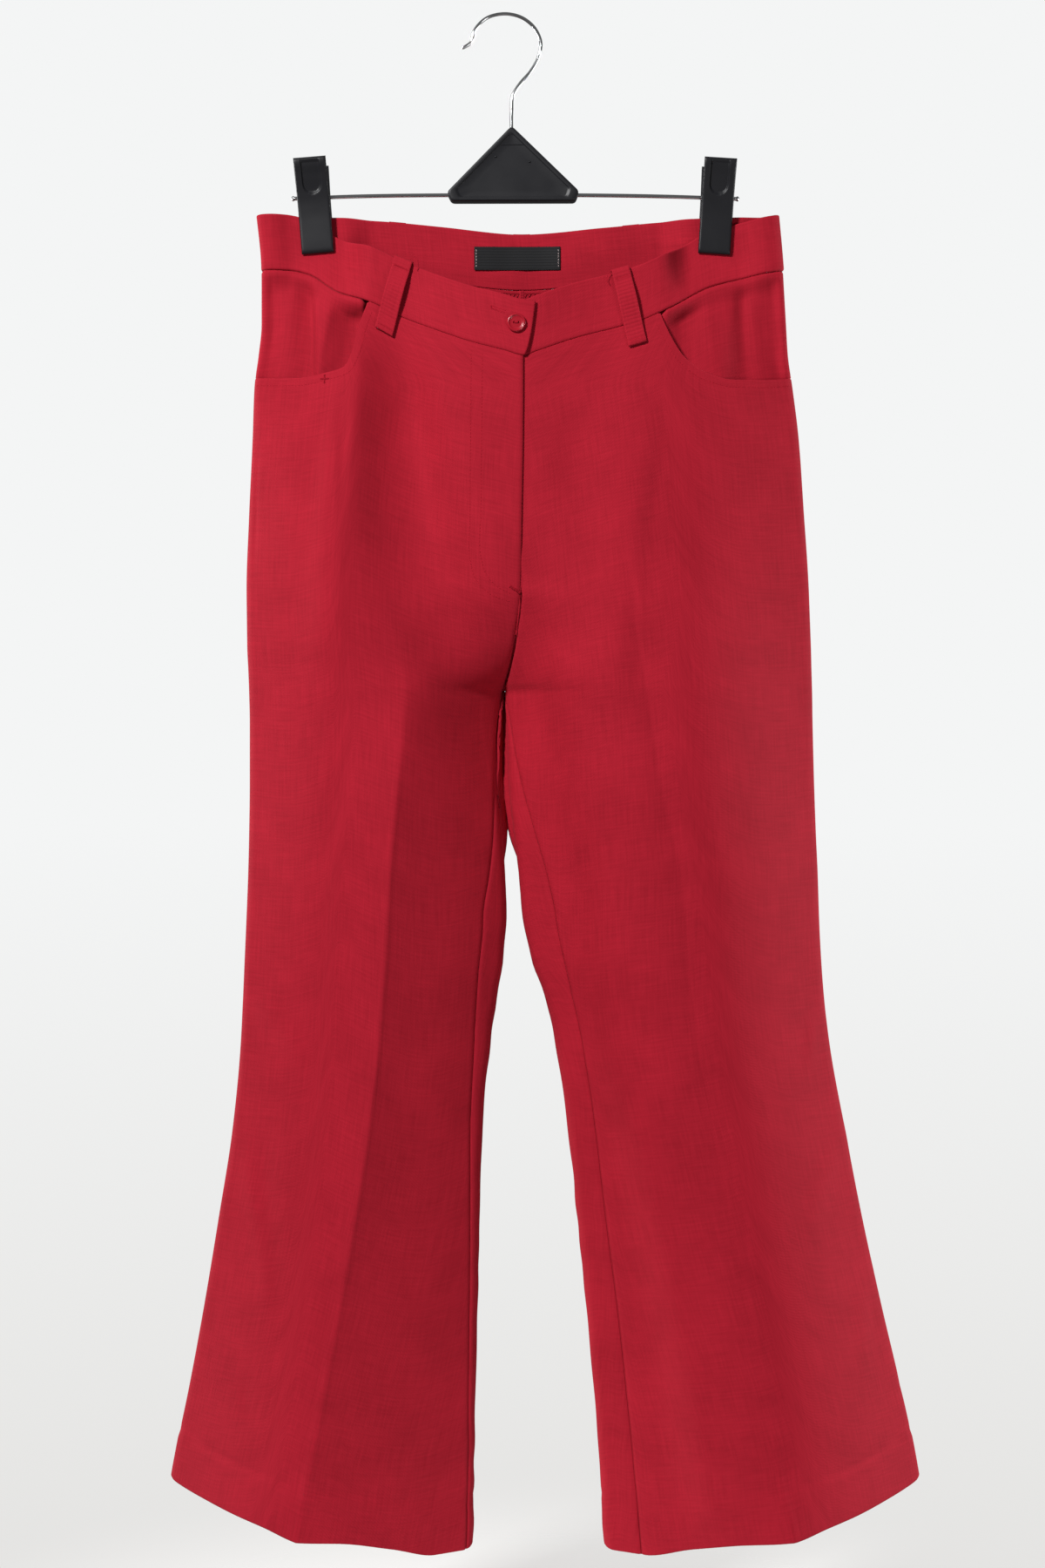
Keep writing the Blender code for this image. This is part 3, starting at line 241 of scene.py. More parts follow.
# %% Tables of folds, pleats and creases
# A fold: top x, top height, bottom x, bottom height, width to the left and to the right, depth, left and right foot.
# Unequal widths give one steep wall. A foot of 1 ends the wall in a sharp edge, and one of 6 lets it run out softly.
FOLDS = {
    "right_front": (
        (-89, -224, -37, -660, 50, 34, 20, 1.5, 4), (-135, -285, -138, -560, 14, 8, -2.5, 6, 6),
    ),
    "left_front": (
        (52, -300, 60, -540, 24, 24, 3, 6, 6), (124, -300, 96, -640, 14, 30, 2.5, 6, 6),
    ),
    "right_back": (
        (-112, -225, -64, -520, 20, 20, 6, 6, 6),
    ),
    "left_back": (
        (128, -230, 74, -540, 22, 22, 7, 6, 6),
    ),
    "right_facing": (
        (-157, -180, -160, -400, 15, 6, 7, 4, 3), (-119, -190, -124, -400, 27, 20, 10, 1.2, 4),
    ),
    "left_facing": (
        (186, -196, 190, -330, 9, 6, 3, 6, 6), (138, -170, 142, -360, 12, 17, 4, 4, 2),
    ),
}
# A pleat runs beside a pressed crease: offset from it, top, bottom, two widths, depth, two feet
PLEATS = {
    "right_front": (
        (0, -560, -1196, 2.4, 2, -0.8, 6, 6), (30, -480, -1196, 30, 30, 1.2, 1, 4),
        (22, -540, -1000, 22, 24, 1.6, 1, 4),
    ),
    "left_front": (
        (-50, -390, -1196, 24, 50, -9.5, 4, 1), (40, -390, -1196, 40, 60, -6, 1, 4),
        (0, -820, -1196, 2, 2.4, -0.6, 6, 6),
    ),
    "right_back": (
        (0, -520, -1196, 2.4, 2.4, -0.8, 6, 6), (26, -560, -1196, 26, 26, 3.4, 1.2, 4),
    ),
    "left_back": (
        (0, -520, -1196, 2.4, 2.4, -0.8, 6, 6), (-28, -540, -1196, 26, 28, 3.6, 4, 1.2),
    ),
}
# A crease: start x and height, end x and height, width before the line and after it, depth
CREASES = {
    "right_front": (
        (-60, -330, -44, -470, 12, 9, -0.8), (-198.5, -296, -201, -470, 1.3, 1.3, 0.6),
        (-200, -438, -132, -441, 3, 3, 0.28), (-186, -529, -140, -531, 2.6, 2.6, 0.22),
        (-196, -612, -118, -617, 3.2, 3.2, 0.3), (-203, -472, -158, -468, 2.4, 2.4, 0.2),
        (-12, -287, 7, -300, 2.4, 2.4, 0.5), (-16, -366, 9, -374, 2.6, 2.6, 0.45),
        (-14, -392, 8, -402, 2.4, 2.4, 0.5), (-8, -414, 9, -420, 2, 2, 0.35), (-60, -470, -8, -512, 7, 7, 0.9),
        (-48, -446, -2, -486, 5, 5, -0.5), (-200, -770, -160, -835, 9, 9, -0.9),
        (-206, -880, -192, -1050, 8, 8, -0.8), (-196, -860, -176, -1040, 10, 10, 0.6),
        (-215, -1085, -190, -1110, 6, 6, 0.5), (-150, -640, -96, -648, 4, 4, 0.2),
        (-20, -800, -42, -806, 2.6, 2.6, 0.4), (-22, -868, -44, -872, 2.4, 2.4, 0.4),
        (-24, -950, -46, -957, 3, 3, 0.35),
    ),
    "left_front": (
        (13, -418, 16, -470, 7, 7, -1.2), (196, -451, 240, -453, 2, 2, 0.55), (188, -464, 241, -465, 2.2, 2.2, 0.5),
        (216, -368, 236, -367, 2, 2, 0.35), (205, -476, 238, -480, 2.4, 2.4, -0.3),
        (92, -400, 116, -590, 6, 6, -0.8), (20, -330, 74, -360, 8, 8, 0.35), (34, -540, 96, -560, 5, 5, 0.3),
        (12, -478, 66, -500, 8, 8, 0.6), (60, -620, 112, -626, 4, 4, 0.25), (252, -790, 226, -840, 7, 7, -0.9),
        (262, -870, 236, -985, 9, 9, -0.8), (290, -985, 268, -1100, 8, 8, -0.7),
        (318, -1080, 280, -1130, 7, 7, 0.5), (36, -766, 60, -772, 2.6, 2.6, 0.45),
        (42, -806, 62, -814, 2.8, 2.8, 0.4), (48, -862, 70, -866, 2.4, 2.4, 0.4), (54, -934, 78, -941, 3, 3, 0.4),
    ),
    "right_back": (
        (-185, -300, -120, -330, 8, 8, 0.6), (-60, -470, -10, -520, 7, 7, 0.9), (-120, -545, -20, -570, 6, 6, 0.7),
        (-196, -455, -140, -458, 3, 3, 0.4), (-205, -760, -150, -800, 9, 9, 0.7),
        (-205, -820, -130, -815, 5, 5, 0.5), (-230, -960, -180, -990, 8, 8, -0.7),
    ),
    "left_back": (
        (190, -310, 140, -340, 8, 8, 0.6), (70, -480, 14, -520, 7, 7, 0.9), (150, -550, 40, -575, 6, 6, 0.7),
        (236, -462, 170, -466, 3, 3, 0.4), (246, -770, 180, -810, 9, 9, 0.7), (250, -835, 170, -828, 5, 5, 0.5),
        (290, -970, 230, -1000, 8, 8, -0.7),
    ),
}
# Clips, by the centre line of their jaws: a row is side, lower x, upper x, upper height
CLIPS = (("right", -150, -156, -116), ("left", 163.2, 167.8, -116.5))
print("faces with creases:", *CREASES)


# %% Curves
def hermite(t, step, start, end, start_slope, end_slope):
    """Cubic from one value to another with a slope at each end, at the share t of the step."""
    return (
        start * (1 + 2 * t) * (1 - t) ** 2 + step * start_slope * t * (1 - t) ** 2
        + end * t**2 * (3 - 2 * t) + step * end_slope * t**2 * (t - 1)
    )


def curve_of(rows, at, index=1):
    """A table's column between its rows, never overshooting: each slope is the harmonic mean of its two steps."""
    rows = np.array(sorted(rows), float)
    knots, values = rows[:, 0], rows[:, index]
    step = np.diff(knots)
    slope = np.diff(values) / step
    before, after = slope[:-1], slope[1:]
    near, far = 2 * step[1:] + step[:-1], step[1:] + 2 * step[:-1]
    product = before * after
    safe = np.where(product > 0, near * after + far * before, 1)
    tangent = np.concatenate([slope[:1], np.where(product > 0, (near + far) * product / safe, 0), slope[-1:]])
    at = np.clip(at, knots[0], knots[-1])
    i = np.clip(np.searchsorted(knots, at, side="right") - 1, 0, len(step) - 1)
    return hermite((at - knots[i]) / step[i], step[i], values[i], values[i + 1], tangent[i], tangent[i + 1])


def smoothstep(t):
    """A step from 0 to 1 with level ends: three times t squared less twice t cubed, t kept within 0 and 1."""
    t = np.clip(t, 0, 1)
    return t * t * (3 - 2 * t)


def quarter_arc(t):
    """Height of a quarter circle of radius 1, t from its foot."""
    return np.sqrt(1 - (1 - np.clip(t, 0, 1)) ** 2)


def bell(across, left, right, left_foot, right_foot):
    """(1 - u^2 / foot)^foot with u the distance in widths: the smaller the foot's number, the sharper its edge."""
    foot = np.where(across < 0, left_foot, right_foot)
    u = across / np.where(across < 0, left, right)
    return (1 - np.minimum(u * u / foot, 1)) ** foot


print("half way up a step:", smoothstep(0.5))


# %% Depth of folds, pleats and creases
def fold_depth(face, x, height):
    """Sum of the large folds: a bell across each centre line, wider on its way down, faded in and out along it."""
    total = 0
    for top_x, top, bottom_x, bottom, left, right, depth, left_foot, right_foot in FOLDS[face]:
        along = (top - height) / (top - bottom)
        across = (x - top_x - (bottom_x - top_x) * along) / (0.4 + 1.4 * np.clip(along, 0, 1))
        fade = smoothstep(along / 0.25) * smoothstep((1 - along) / 0.35)
        total = total + depth * fade * bell(across, left, right, left_foot, right_foot)
    return total


def pleat_depth(face, offset, height):
    """Sum of the pressed pleats: a bell of the offset from the crease line, faded at both ends."""
    total = 0
    for middle, top, bottom, left, right, depth, left_foot, right_foot in PLEATS[face]:
        along = (top - height) / (top - bottom)
        fade = smoothstep(along / 0.2) * smoothstep((1 - along) / 0.2 + 0.4)
        total = total + depth * fade * bell(offset - middle, left, right, left_foot, right_foot)
    return total


def crease_depth(face, x, height):
    """Sum of the small creases: a bell of the distance from each line, bent by a sine, faded over its two ends."""
    total = 0
    for x0, z0, x1, z1, before, after, depth in CREASES[face]:
        length = math.hypot(x1 - x0, z1 - z0)
        ux, uz = (x1 - x0) / length, (z1 - z0) / length
        along = ((x - x0) * ux + (height - z0) * uz) / length
        across = (height - z0) * ux - (x - x0) * uz + min(before, after) * 0.6 * np.sin(along * 5 + x0)
        fade = smoothstep(along / 0.35) * smoothstep((1 - along) / 0.45)
        total = total + depth * fade * np.exp(-((across / np.where(across < 0, before, after)) ** 2))
    return total


print("fold in front of the right thigh:", fold_depth("right_front", -70.0, -400.0).round(1))

# %% One half of the trousers
CROTCH_HEIGHT = -536.0
CLEFT_HALF_GAP = 0.1
SIDE_FOLD_RADIUS = 5.0
INNER_FOLD_RADIUS = 6.0
TOUCH_OVERLAP = 0.3
TOUCH_TURN = 0.955
PINCH_LOW = -192.0
PINCH_FADE = 48.0
PINCH_HALF_WIDTH = 19.0
PINCH_SIDE_FADE = 25.0
PINCH_DEPTH = 2.1
FLY_DROP = 2.7  # how far the left front lies behind the right one, under the fly


def pinch_share(x, height):
    """1 where a clip presses the two layers together, fading to 0 around it."""
    share = np.zeros(np.broadcast(x, height).shape)
    for _, lower_x, _, _ in CLIPS:
        aside = smoothstep(1 - (np.abs(x - lower_x) - PINCH_HALF_WIDTH) / PINCH_SIDE_FADE)
        below = smoothstep(1 - (PINCH_LOW - height) / PINCH_FADE)
        share = np.maximum(share, aside * below)
    return share


class Half:
    """One half of the trousers, from the centre front round the side to the centre back, and down one leg."""

    def __init__(self, side):
        right = side == "right"
        self.out = -1 if right else 1
        self.sections = RIGHT_SECTIONS if right else LEFT_SECTIONS
        self.pocket = RIGHT_POCKET if right else LEFT_POCKET
        self.pocket_end = self.pocket[-1 if right else 0][0]
        self.fly_drop = 0 if right else FLY_DROP
        self.faces = (side + "_front", side + "_back")

    def section(self, name, height):
        """One column of this half's sections at a height, on the smooth curve through its rows."""
        return curve_of(self.sections, height, SECTION_COLUMNS.index(name))

    def depth(self, name, height):
        """One column of the depths at a height, on the smooth curve through its rows."""
        return curve_of(DEPTHS, height, DEPTH_COLUMNS.index(name))

    def points(self, turn, height):
        """Points of the smooth cloth. From a seam or fold to the crease, x follows a quarter of a cosine and y
        follows a small round edge and then a swell that is a sine, or straight where the crease is pressed."""
        turn, height = np.broadcast_arrays(np.asarray(turn, float), np.asarray(height, float))
        in_leg = height <= CROTCH_HEIGHT
        turn = np.where(in_leg, turn % 1.0, np.clip(turn, 0, 1))
        front = turn < 0.5
        from_inner = np.where(front, turn, 1 - turn) / 0.25
        outer = from_inner > 1
        share = 1 - np.cos(np.pi / 2 * np.where(outer, 2 - from_inner, from_inner))
        front_y = self.depth("front_seam_y", height) + self.fly_drop * smoothstep((height + 464) / 16)
        seam_x = (self.section("front_seam_x", height), self.section("back_seam_x", height))
        seam_y = (front_y, self.depth("back_seam_y", height))
        inner_x, inner_y = (np.where(in_leg, (a + b) / 2, np.where(front, a, b)) for a, b in (seam_x, seam_y))
        tuck = np.where(outer, 1.0, self.depth("tuck", height))
        edge_x = np.where(outer, self.section("side_x", height), inner_x + self.out * CLEFT_HALF_GAP * tuck)
        edge_y = np.where(outer, self.depth("side_y", height), inner_y)
        reach_x = self.section("crease_x", height) - edge_x
        crease_y = np.where(front, self.depth("crease_y", height), self.depth("back_crease_y", height))
        away = np.where(front, -1.0, 1.0)
        press = self.depth("press", height)
        bulge = (crease_y - edge_y) * away
        radius = np.where(outer, SIDE_FOLD_RADIUS, INNER_FOLD_RADIUS) * np.maximum(tuck, 1e-3)
        radius = np.minimum(radius, np.maximum(bulge * 0.8, 1e-3))
        swell = (1 - press) * np.sin(np.pi / 2 * share) + press * share
        folded = radius * quarter_arc(np.abs(reach_x) * share / radius) + (bulge - radius) * swell
        x = edge_x + reach_x * share
        y = edge_y + away * (tuck * folded + (1 - tuck) * bulge * smoothstep(share))
        fold = np.where(front, *(fold_depth(face, x, height) for face in self.faces))
        y = y - away * fold * np.minimum(1, np.abs(y - edge_y) / 12 + (1 - outer))
        pinch = pinch_share(x, height)
        y = y * (1 - pinch) + away * PINCH_DEPTH * np.minimum(1, np.abs(y) / 3) * pinch
        return np.stack([x, y, height], axis=-1)

    def normals(self, turn, height):
        """Outward unit normals of the smooth cloth, from the two directions along it."""
        turn, height = np.broadcast_arrays(np.asarray(turn, float), np.asarray(height, float))
        step, rise = 0.004, 2.0
        across = self.points(turn + step, height) - self.points(turn - step, height)
        up = self.points(turn, height + rise) - self.points(turn, height - rise)
        normal = np.cross(up, across) * -self.out
        return normal / np.linalg.norm(normal, axis=-1, keepdims=True)

    def thigh_touch(self, turn, points):
        """Behind the inner fold the thighs press against each other: a bell of the turn eases x to the middle."""
        x, y, height = points[..., 0], points[..., 1], points[..., 2]
        seams = sum(half.section("front_seam_x", height) for half in HALVES.values())
        between = seams / 2 - self.out * TOUCH_OVERLAP
        fade = (height <= CROTCH_HEIGHT) * smoothstep((height + 690) / 50)
        share = bell(turn - TOUCH_TURN, 0.04, 0.018, 4, 4) * fade
        return np.stack([x + (between - x) * share, y, height], axis=-1)

    def cloth(self, turn, height):
        """The smooth cloth with its pleats and small creases pressed in: (points, outward normals)."""
        points, normals = self.points(turn, height), self.normals(turn, height)
        x, height = points[..., 0], points[..., 2]
        offset = x - self.section("crease_x", height)
        front = points[..., 1] < self.depth("side_y", height)
        depth = (crease_depth(face, x, height) + pleat_depth(face, offset, height) for face in self.faces)
        return self.thigh_touch(turn, points) - normals * np.where(front, *depth)[..., None], normals

    def inseam_turn(self, height):
        """Turn of the inseam, which lies on the front by the width of the strip."""
        reach = np.abs(self.section("crease_x", height) - self.section("front_seam_x", height))
        return 0.25 * 2 / np.pi * np.arccos(1 - self.section("strip", height) / reach)

    def turn_at(self, x, height, front=True):
        """Turn of the point at this x on the front or on the back."""
        crease_x = self.section("crease_x", height)
        outer = (x - crease_x) * self.out > 0
        inner_x = self.section("front_seam_x" if front else "back_seam_x", height)
        edge_x = np.where(outer, self.section("side_x", height), inner_x)
        travel = 2 / np.pi * np.arccos(1 - np.clip((x - edge_x) / (crease_x - edge_x), 0, 1))
        from_inner = np.where(outer, 2 - travel, travel) * 0.25
        return from_inner if front else 1 - from_inner


HALVES = {side: Half(side) for side in ("right", "left")}


def face_at(x, height, front=True):
    """Points and normals of the front or back cloth at these x, each taken from its own half."""
    found = [half.cloth(half.turn_at(x, height, front), height) for half in HALVES.values()]
    centre = HALVES["right"].section("front_seam_x" if front else "back_seam_x", height)
    right = (x < centre)[..., None]
    return np.where(right, found[0][0], found[1][0]), np.where(right, found[0][1], found[1][1])


def waist_height(x, front):
    """Height of the waist seam at x, on the smooth curve through the places of the front or the back."""
    return curve_of(FRONT_WAIST if front else BACK_WAIST, x)


def edge_height(half, turn, start, rule):
    """Height at which each column meets a line across the cloth, by a few rounds of reading its x."""
    height = np.full(turn.shape, float(start))
    for _ in range(8):
        height = rule(half.points(turn, height)[..., 0])
    return height


def front_top(half, x):
    """Upper edge of a front: the pocket edge beside the side seam, then the waist seam."""
    inside = (x - half.pocket_end) * half.out < 0
    return np.where(inside, waist_height(x, True), curve_of(half.pocket, x))


print("front crease of the right leg at the knee:", HALVES["right"].points(0.25, -820.0).round(1))

# %% [markdown]
# ## From a grid of points to a piece of cloth
#
# A flat piece with square-cut rims looks like cardboard. Real edges are turned under, so each grid here is the
# middle of the cloth, and the wall swells from almost nothing at a rim to its full thickness in a quarter circle.
# Where two such pieces meet there is a natural groove: the seam. Each piece carries a map of its own in metres, so
# the weave runs along the cloth wherever it bends.

# %% Mesh helpers
RIM_SHARE = 0.06
GROOVE_HALF_WIDTH = 1.6
EDGE_STEPS = np.array([0.0, 0.12, 0.4, 0.8, 1.4, 2.4, 4.0])


def arc(grid, axis, from_end=False):
    """Distance along the grid from its first or last row or column."""
    steps = np.linalg.norm(np.diff(grid, axis=axis), axis=-1)
    total = np.insert(np.cumsum(steps, axis=axis), 0, 0, axis=axis)
    return total.take([-1], axis=axis) - total if from_end else total


def unit(vectors):
    """Each vector at length 1."""
    return vectors / np.maximum(np.linalg.norm(vectors, axis=-1, keepdims=True), 1e-12)


def grid_normals(grid, flip):
    """Unit normals of a grid, from the cross product of its two directions."""
    normal = unit(np.cross(np.gradient(grid, axis=0), np.gradient(grid, axis=1)))
    return normal if flip else -normal


def grid_faces(rows, columns, round_columns=False):
    """Quads of a grid. A round grid's last column joins its first."""
    index = np.arange(rows * columns).reshape(rows, columns)
    if round_columns:
        index = np.concatenate([index, index[:, :1]], axis=1)
    a, b, c, d = index[:-1, :-1], index[:-1, 1:], index[1:, 1:], index[1:, :-1]
    return np.stack([a, d, c, b], axis=-1).reshape(-1, 4)


def shell_faces(rows, columns):
    """Faces of two copies of a grid, one behind the other, joined round their rim."""
    count = rows * columns
    index = np.arange(count).reshape(rows, columns)
    loop = np.concatenate([index[0], index[1:, -1], index[-1, -2::-1], index[-2:0:-1, 0]])
    quads, ahead = grid_faces(rows, columns), np.roll(loop, -1)
    rim = np.stack([loop, ahead, ahead + count, loop + count], axis=-1)
    return np.concatenate([quads, quads[:, ::-1] + count, rim])


def tube_faces(rows, sides, starts=(0,)):
    """Faces of round grids, each from its first point: the quads, and a polygon over each end ring."""
    ring = np.arange(sides)
    ends = np.stack([ring, ring[::-1] + sides * (rows - 1)])
    starts = np.reshape(starts, (-1, 1, 1))
    return [face for kind in (grid_faces(rows, sides, True), ends) for face in np.concatenate(kind + starts)]


def finish_piece(name, points, faces, material, replaces=(), uv=None, sharp=None):
    """Makes the mesh from points in millimetres, shades it smooth and lets it ride on the part."""
    mesh = bpy.data.meshes.new(name)
    mesh.from_pydata((points.reshape(-1, 3) * MM).tolist(), [], [face.tolist() for face in faces])
    mesh.validate()
    mesh.shade_smooth()
    if sharp:
        mesh.set_sharp_from_angle(angle=math.radians(sharp))
    if uv is not None:
        corners = np.empty(len(mesh.loops), np.int32)
        mesh.loops.foreach_get("vertex_index", corners)
        layer = mesh.uv_layers.new(name="cloth")
        layer.data.foreach_set("uv", (uv.reshape(-1, 2)[corners] * MM).astype(np.float32).ravel())
    mesh.materials.append(material)
    piece = bpy.data.objects.new(name, mesh)
    scene.collection.objects.link(piece)
    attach(piece, "root")
    if replaces:
        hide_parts(*replaces)
    print(f"{name}: {len(mesh.polygons)} faces")
    return piece


def declare_cloth(middle):
    """Works out the longest row and column of a piece's grid, which are not kept."""
    width, length = arc(middle, 1)[:, -1].max(), arc(middle, 0)[-1].max()


print("face and sheet helpers ready")


# %% Cloth with a wall, and round tubes
def wall_piece(name, middle, wall, material, flip, rests_on, replaces=(), groove=(), groove_depth=0.7):
    """Cloth round a grid of its middle: half the wall to each side, rounded off towards every rim. A groove sinks
    the cloth beside a seam by a narrow bell of the distance from it."""
    normal = grid_normals(middle, flip)
    rims = {
        "first_row": arc(middle, 0), "last_row": arc(middle, 0, True), "first_column": arc(middle, 1),
        "last_column": arc(middle, 1, True),
    }
    half_wall = np.broadcast_to(np.asarray(wall, float) / 2, middle.shape[:2])
    share = np.ones(middle.shape[:2])
    for distance in rims.values():
        share = share * np.maximum(quarter_arc(distance / half_wall), RIM_SHARE)
    sink = 0 * share
    for edge in groove:
        sink = np.maximum(sink, groove_depth * np.exp(-((rims[edge] / GROOVE_HALF_WIDTH) ** 2)))
    sunk = middle - normal * sink[..., None]
    offset = normal * (half_wall * share)[..., None]
    faces = shell_faces(*middle.shape[:2])
    uv = np.stack([arc(sunk, 1), arc(sunk, 0)], axis=-1)
    points, uv = np.stack([sunk + offset, sunk - offset]), np.stack([uv, uv])
    piece = finish_piece(name, points, faces if flip else faces[:, ::-1], material, replaces, uv)
    declare_cloth(middle)


def smooth_path(points, count):
    """A smooth curve through a few points: each slope is half the step between its neighbours."""
    points = np.asarray(points, float)
    reach = arc(points[None], 1)[0]
    at = np.linspace(0, reach[-1], count)
    slope = np.gradient(points, reach, axis=0)
    i = np.clip(np.searchsorted(reach, at, side="right") - 1, 0, len(reach) - 2)
    step = (reach[i + 1] - reach[i])[:, None]
    return hermite((at - reach[i])[:, None] / step, step, points[i], points[i + 1], slope[i], slope[i + 1])


def tube_arrays(path, radius, up, sides=16, end_steps=5):
    """A round tube: circles of the radius square to the path, closing in a dome at each end."""
    reach = arc(path[None], 1)[0]
    near = radius * (1 - np.cos(np.linspace(0, np.pi / 2, end_steps)))
    inside = reach[(reach > near[-1] * 1.3) & (reach < reach[-1] - near[-1] * 1.3)]
    at = np.concatenate([near, inside, reach[-1] - near[::-1]])
    line, along = (
        np.stack([np.interp(at, reach, values[:, k]) for k in range(3)], axis=1)
        for values in (path, np.gradient(path, reach, axis=0))
    )
    along = unit(along)
    side = unit(np.cross(along, up))
    third = np.cross(side, along)
    size = radius * np.minimum(quarter_arc(at / radius), quarter_arc((reach[-1] - at) / radius))
    size = np.maximum(size, radius * 0.02)[:, None, None]
    angle = np.linspace(0, 2 * np.pi, sides, endpoint=False)[None, :, None]
    ring = line[:, None] + size * (np.cos(angle) * side[:, None] + np.sin(angle) * third[:, None])
    return ring.reshape(-1, 3), tube_faces(len(at), sides)


def join_parts(parts):
    """One list of points and faces from several."""
    starts = np.cumsum([0] + [len(points) for points, _ in parts])
    faces = [face + start for (_, part), start in zip(parts, starts) for face in part]
    return np.concatenate([points for points, _ in parts]), faces


print("mesh helpers ready")

# %% [markdown]
# ## Suiting
#
# The cloth is a polyester and viscose suiting, woven in a fine twill and pressed. What the eye gets: a dull deep
# red, a little lighter where it turns away because short fibres stand off the surface (sheen), faint cross
# streaks where a thicker weft thread runs, and a fine grain. Threads of 0.3 mm are finer than a pixel of the
# render, so the grain is drawn at 0.9 mm and kept weak.

# %% Suiting material
THREAD_MM = 0.9
SLUB_MM = 6.0


def suiting(name, dark, light, sheen):
    """Twill suiting on the piece's own map, in metres: noise stretched along the weft and the warp."""
    made, tree, shader = new_material(
        name, "red_suiting", Roughness=0.86, Sheen_Weight=sheen, Sheen_Roughness=0.45, Sheen_Tint=linear("#FFB4C0"),
        Specular_IOR_Level=0.18,
    )
    cloth_map = add_node(tree, "UVMap", uv_map="cloth")
    slub = 1000 / SLUB_MM * 4
    weft, warp = (
        add_node(tree, "Mapping", {"Vector": cloth_map, "Scale": scale}) for scale in ((40, slub, 1), (slub, 30, 1))
    )
    cross, down, cloud = (
        add_node(tree, "TexNoise", {"Vector": source, "Scale": scale, "Detail": detail})
        for source, scale, detail in ((weft, 1.0, 3.0), (warp, 1.0, 3.0), (cloth_map, 22.0, 4.0))
    )
    streaks = add_node(tree, "Mix", {0: 0.5, 2: cross, 3: down})
    tone = add_node(tree, "Mix", {0: 0.35, 2: streaks, 3: cloud})
    spread = add_node(tree, "MapRange", {"Value": tone, "From Min": 0.36, "From Max": 0.64})
    colour = add_node(tree, "Mix", {0: spread, 6: linear(dark), 7: linear(light)}, data_type="RGBA")
    twill_map = add_node(tree, "Mapping", {"Vector": cloth_map, "Rotation": (0, 0, math.radians(55))})
    twill = add_node(tree, "TexWave", {
        "Vector": twill_map, "Scale": 1000 / THREAD_MM / TAU, "Distortion": 1.5, "Detail": 2.0})
    height = add_node(tree, "Mix", {0: 0.6, 2: twill.outputs["Fac"], 3: streaks})
    bump = add_node(tree, "Bump", {"Height": height, "Strength": 0.22, "Distance": 0.0004})
    feed(shader, {"Base Color": colour.outputs[2], "Normal": bump})
    return made


SUITING = suiting("pressed_twill_suiting", "#970F22", "#AD172B", 0.05)
THREAD, _, _ = new_material(
    "spun_polyester_thread", "red_suiting", Base_Color=linear("#A51327"), Roughness=0.8, Specular_IOR_Level=0.15
)
print("suiting and thread ready")

# %% [markdown]
# ## The four leg panels
#
# Trousers are cut as two fronts and two backs. A grid of turn and height is laid over each, with its columns spaced
# by distance along the cloth and crowded near the seams, where the groove needs them. Two more things are pressed
# into the panels only: the edge of the hem turned up inside, which shows as a faint broken line, and the pucker
# that a tight inseam leaves along the inner folds.

# %% Leg panels
CLOTH_WALL = 1.4
HEM_WALL = 2.4
HEM_DEPTH = 38.0
PANEL_MIDDLE_COLUMNS = 110
UPPER_LEVEL = -300.0
LOWER_LEVEL = -1140.0


def spaced(length, middle):
    """Distances from 0 to the length: crowded at both ends, even between."""
    inside = np.linspace(EDGE_STEPS[-1], length - EDGE_STEPS[-1], middle)[1:-1]
    return np.concatenate([EDGE_STEPS, inside, length - EDGE_STEPS[::-1]])


def even_turns(half, start, end, height, middle):
    """Turns of one row whose points are spaced by their distance along the cloth."""
    fine = start + (end - start) * smoothstep(np.linspace(0, 1, 400))
    reach = arc(half.points(fine, height)[None], 1)[0]
    return np.interp(spaced(reach[-1], middle), reach, fine)


def inseam_pucker(half, turn, height):
    """Small ripples beside the inner fold: a sine of the height whose size wanders with slower sines."""
    from_fold = np.minimum(turn % 1.0, 1 - turn % 1.0)
    near = np.exp(-((from_fold / 0.055) ** 2)) * smoothstep((CROTCH_HEIGHT - 150 - height) / 60)
    size = 0.55 + 0.45 * np.sin(height / 37.0 + half.out) * np.sin(height / 83.0)
    return near * size * np.sin(height / 7.5 + 2.0 * np.sin(height / 31.0)) * 0.5


def hem_line(turn, height, hem):
    """Edge of the hem's turned-up cloth: a shallow step whose depth comes and goes round the leg."""
    uneven = 0.35 + 0.65 * np.clip(np.sin(turn * 19.0 + 0.8), 0, 1)
    return 0.8 * uneven * np.exp(-(((height - hem - HEM_DEPTH) / 2.0) ** 2))


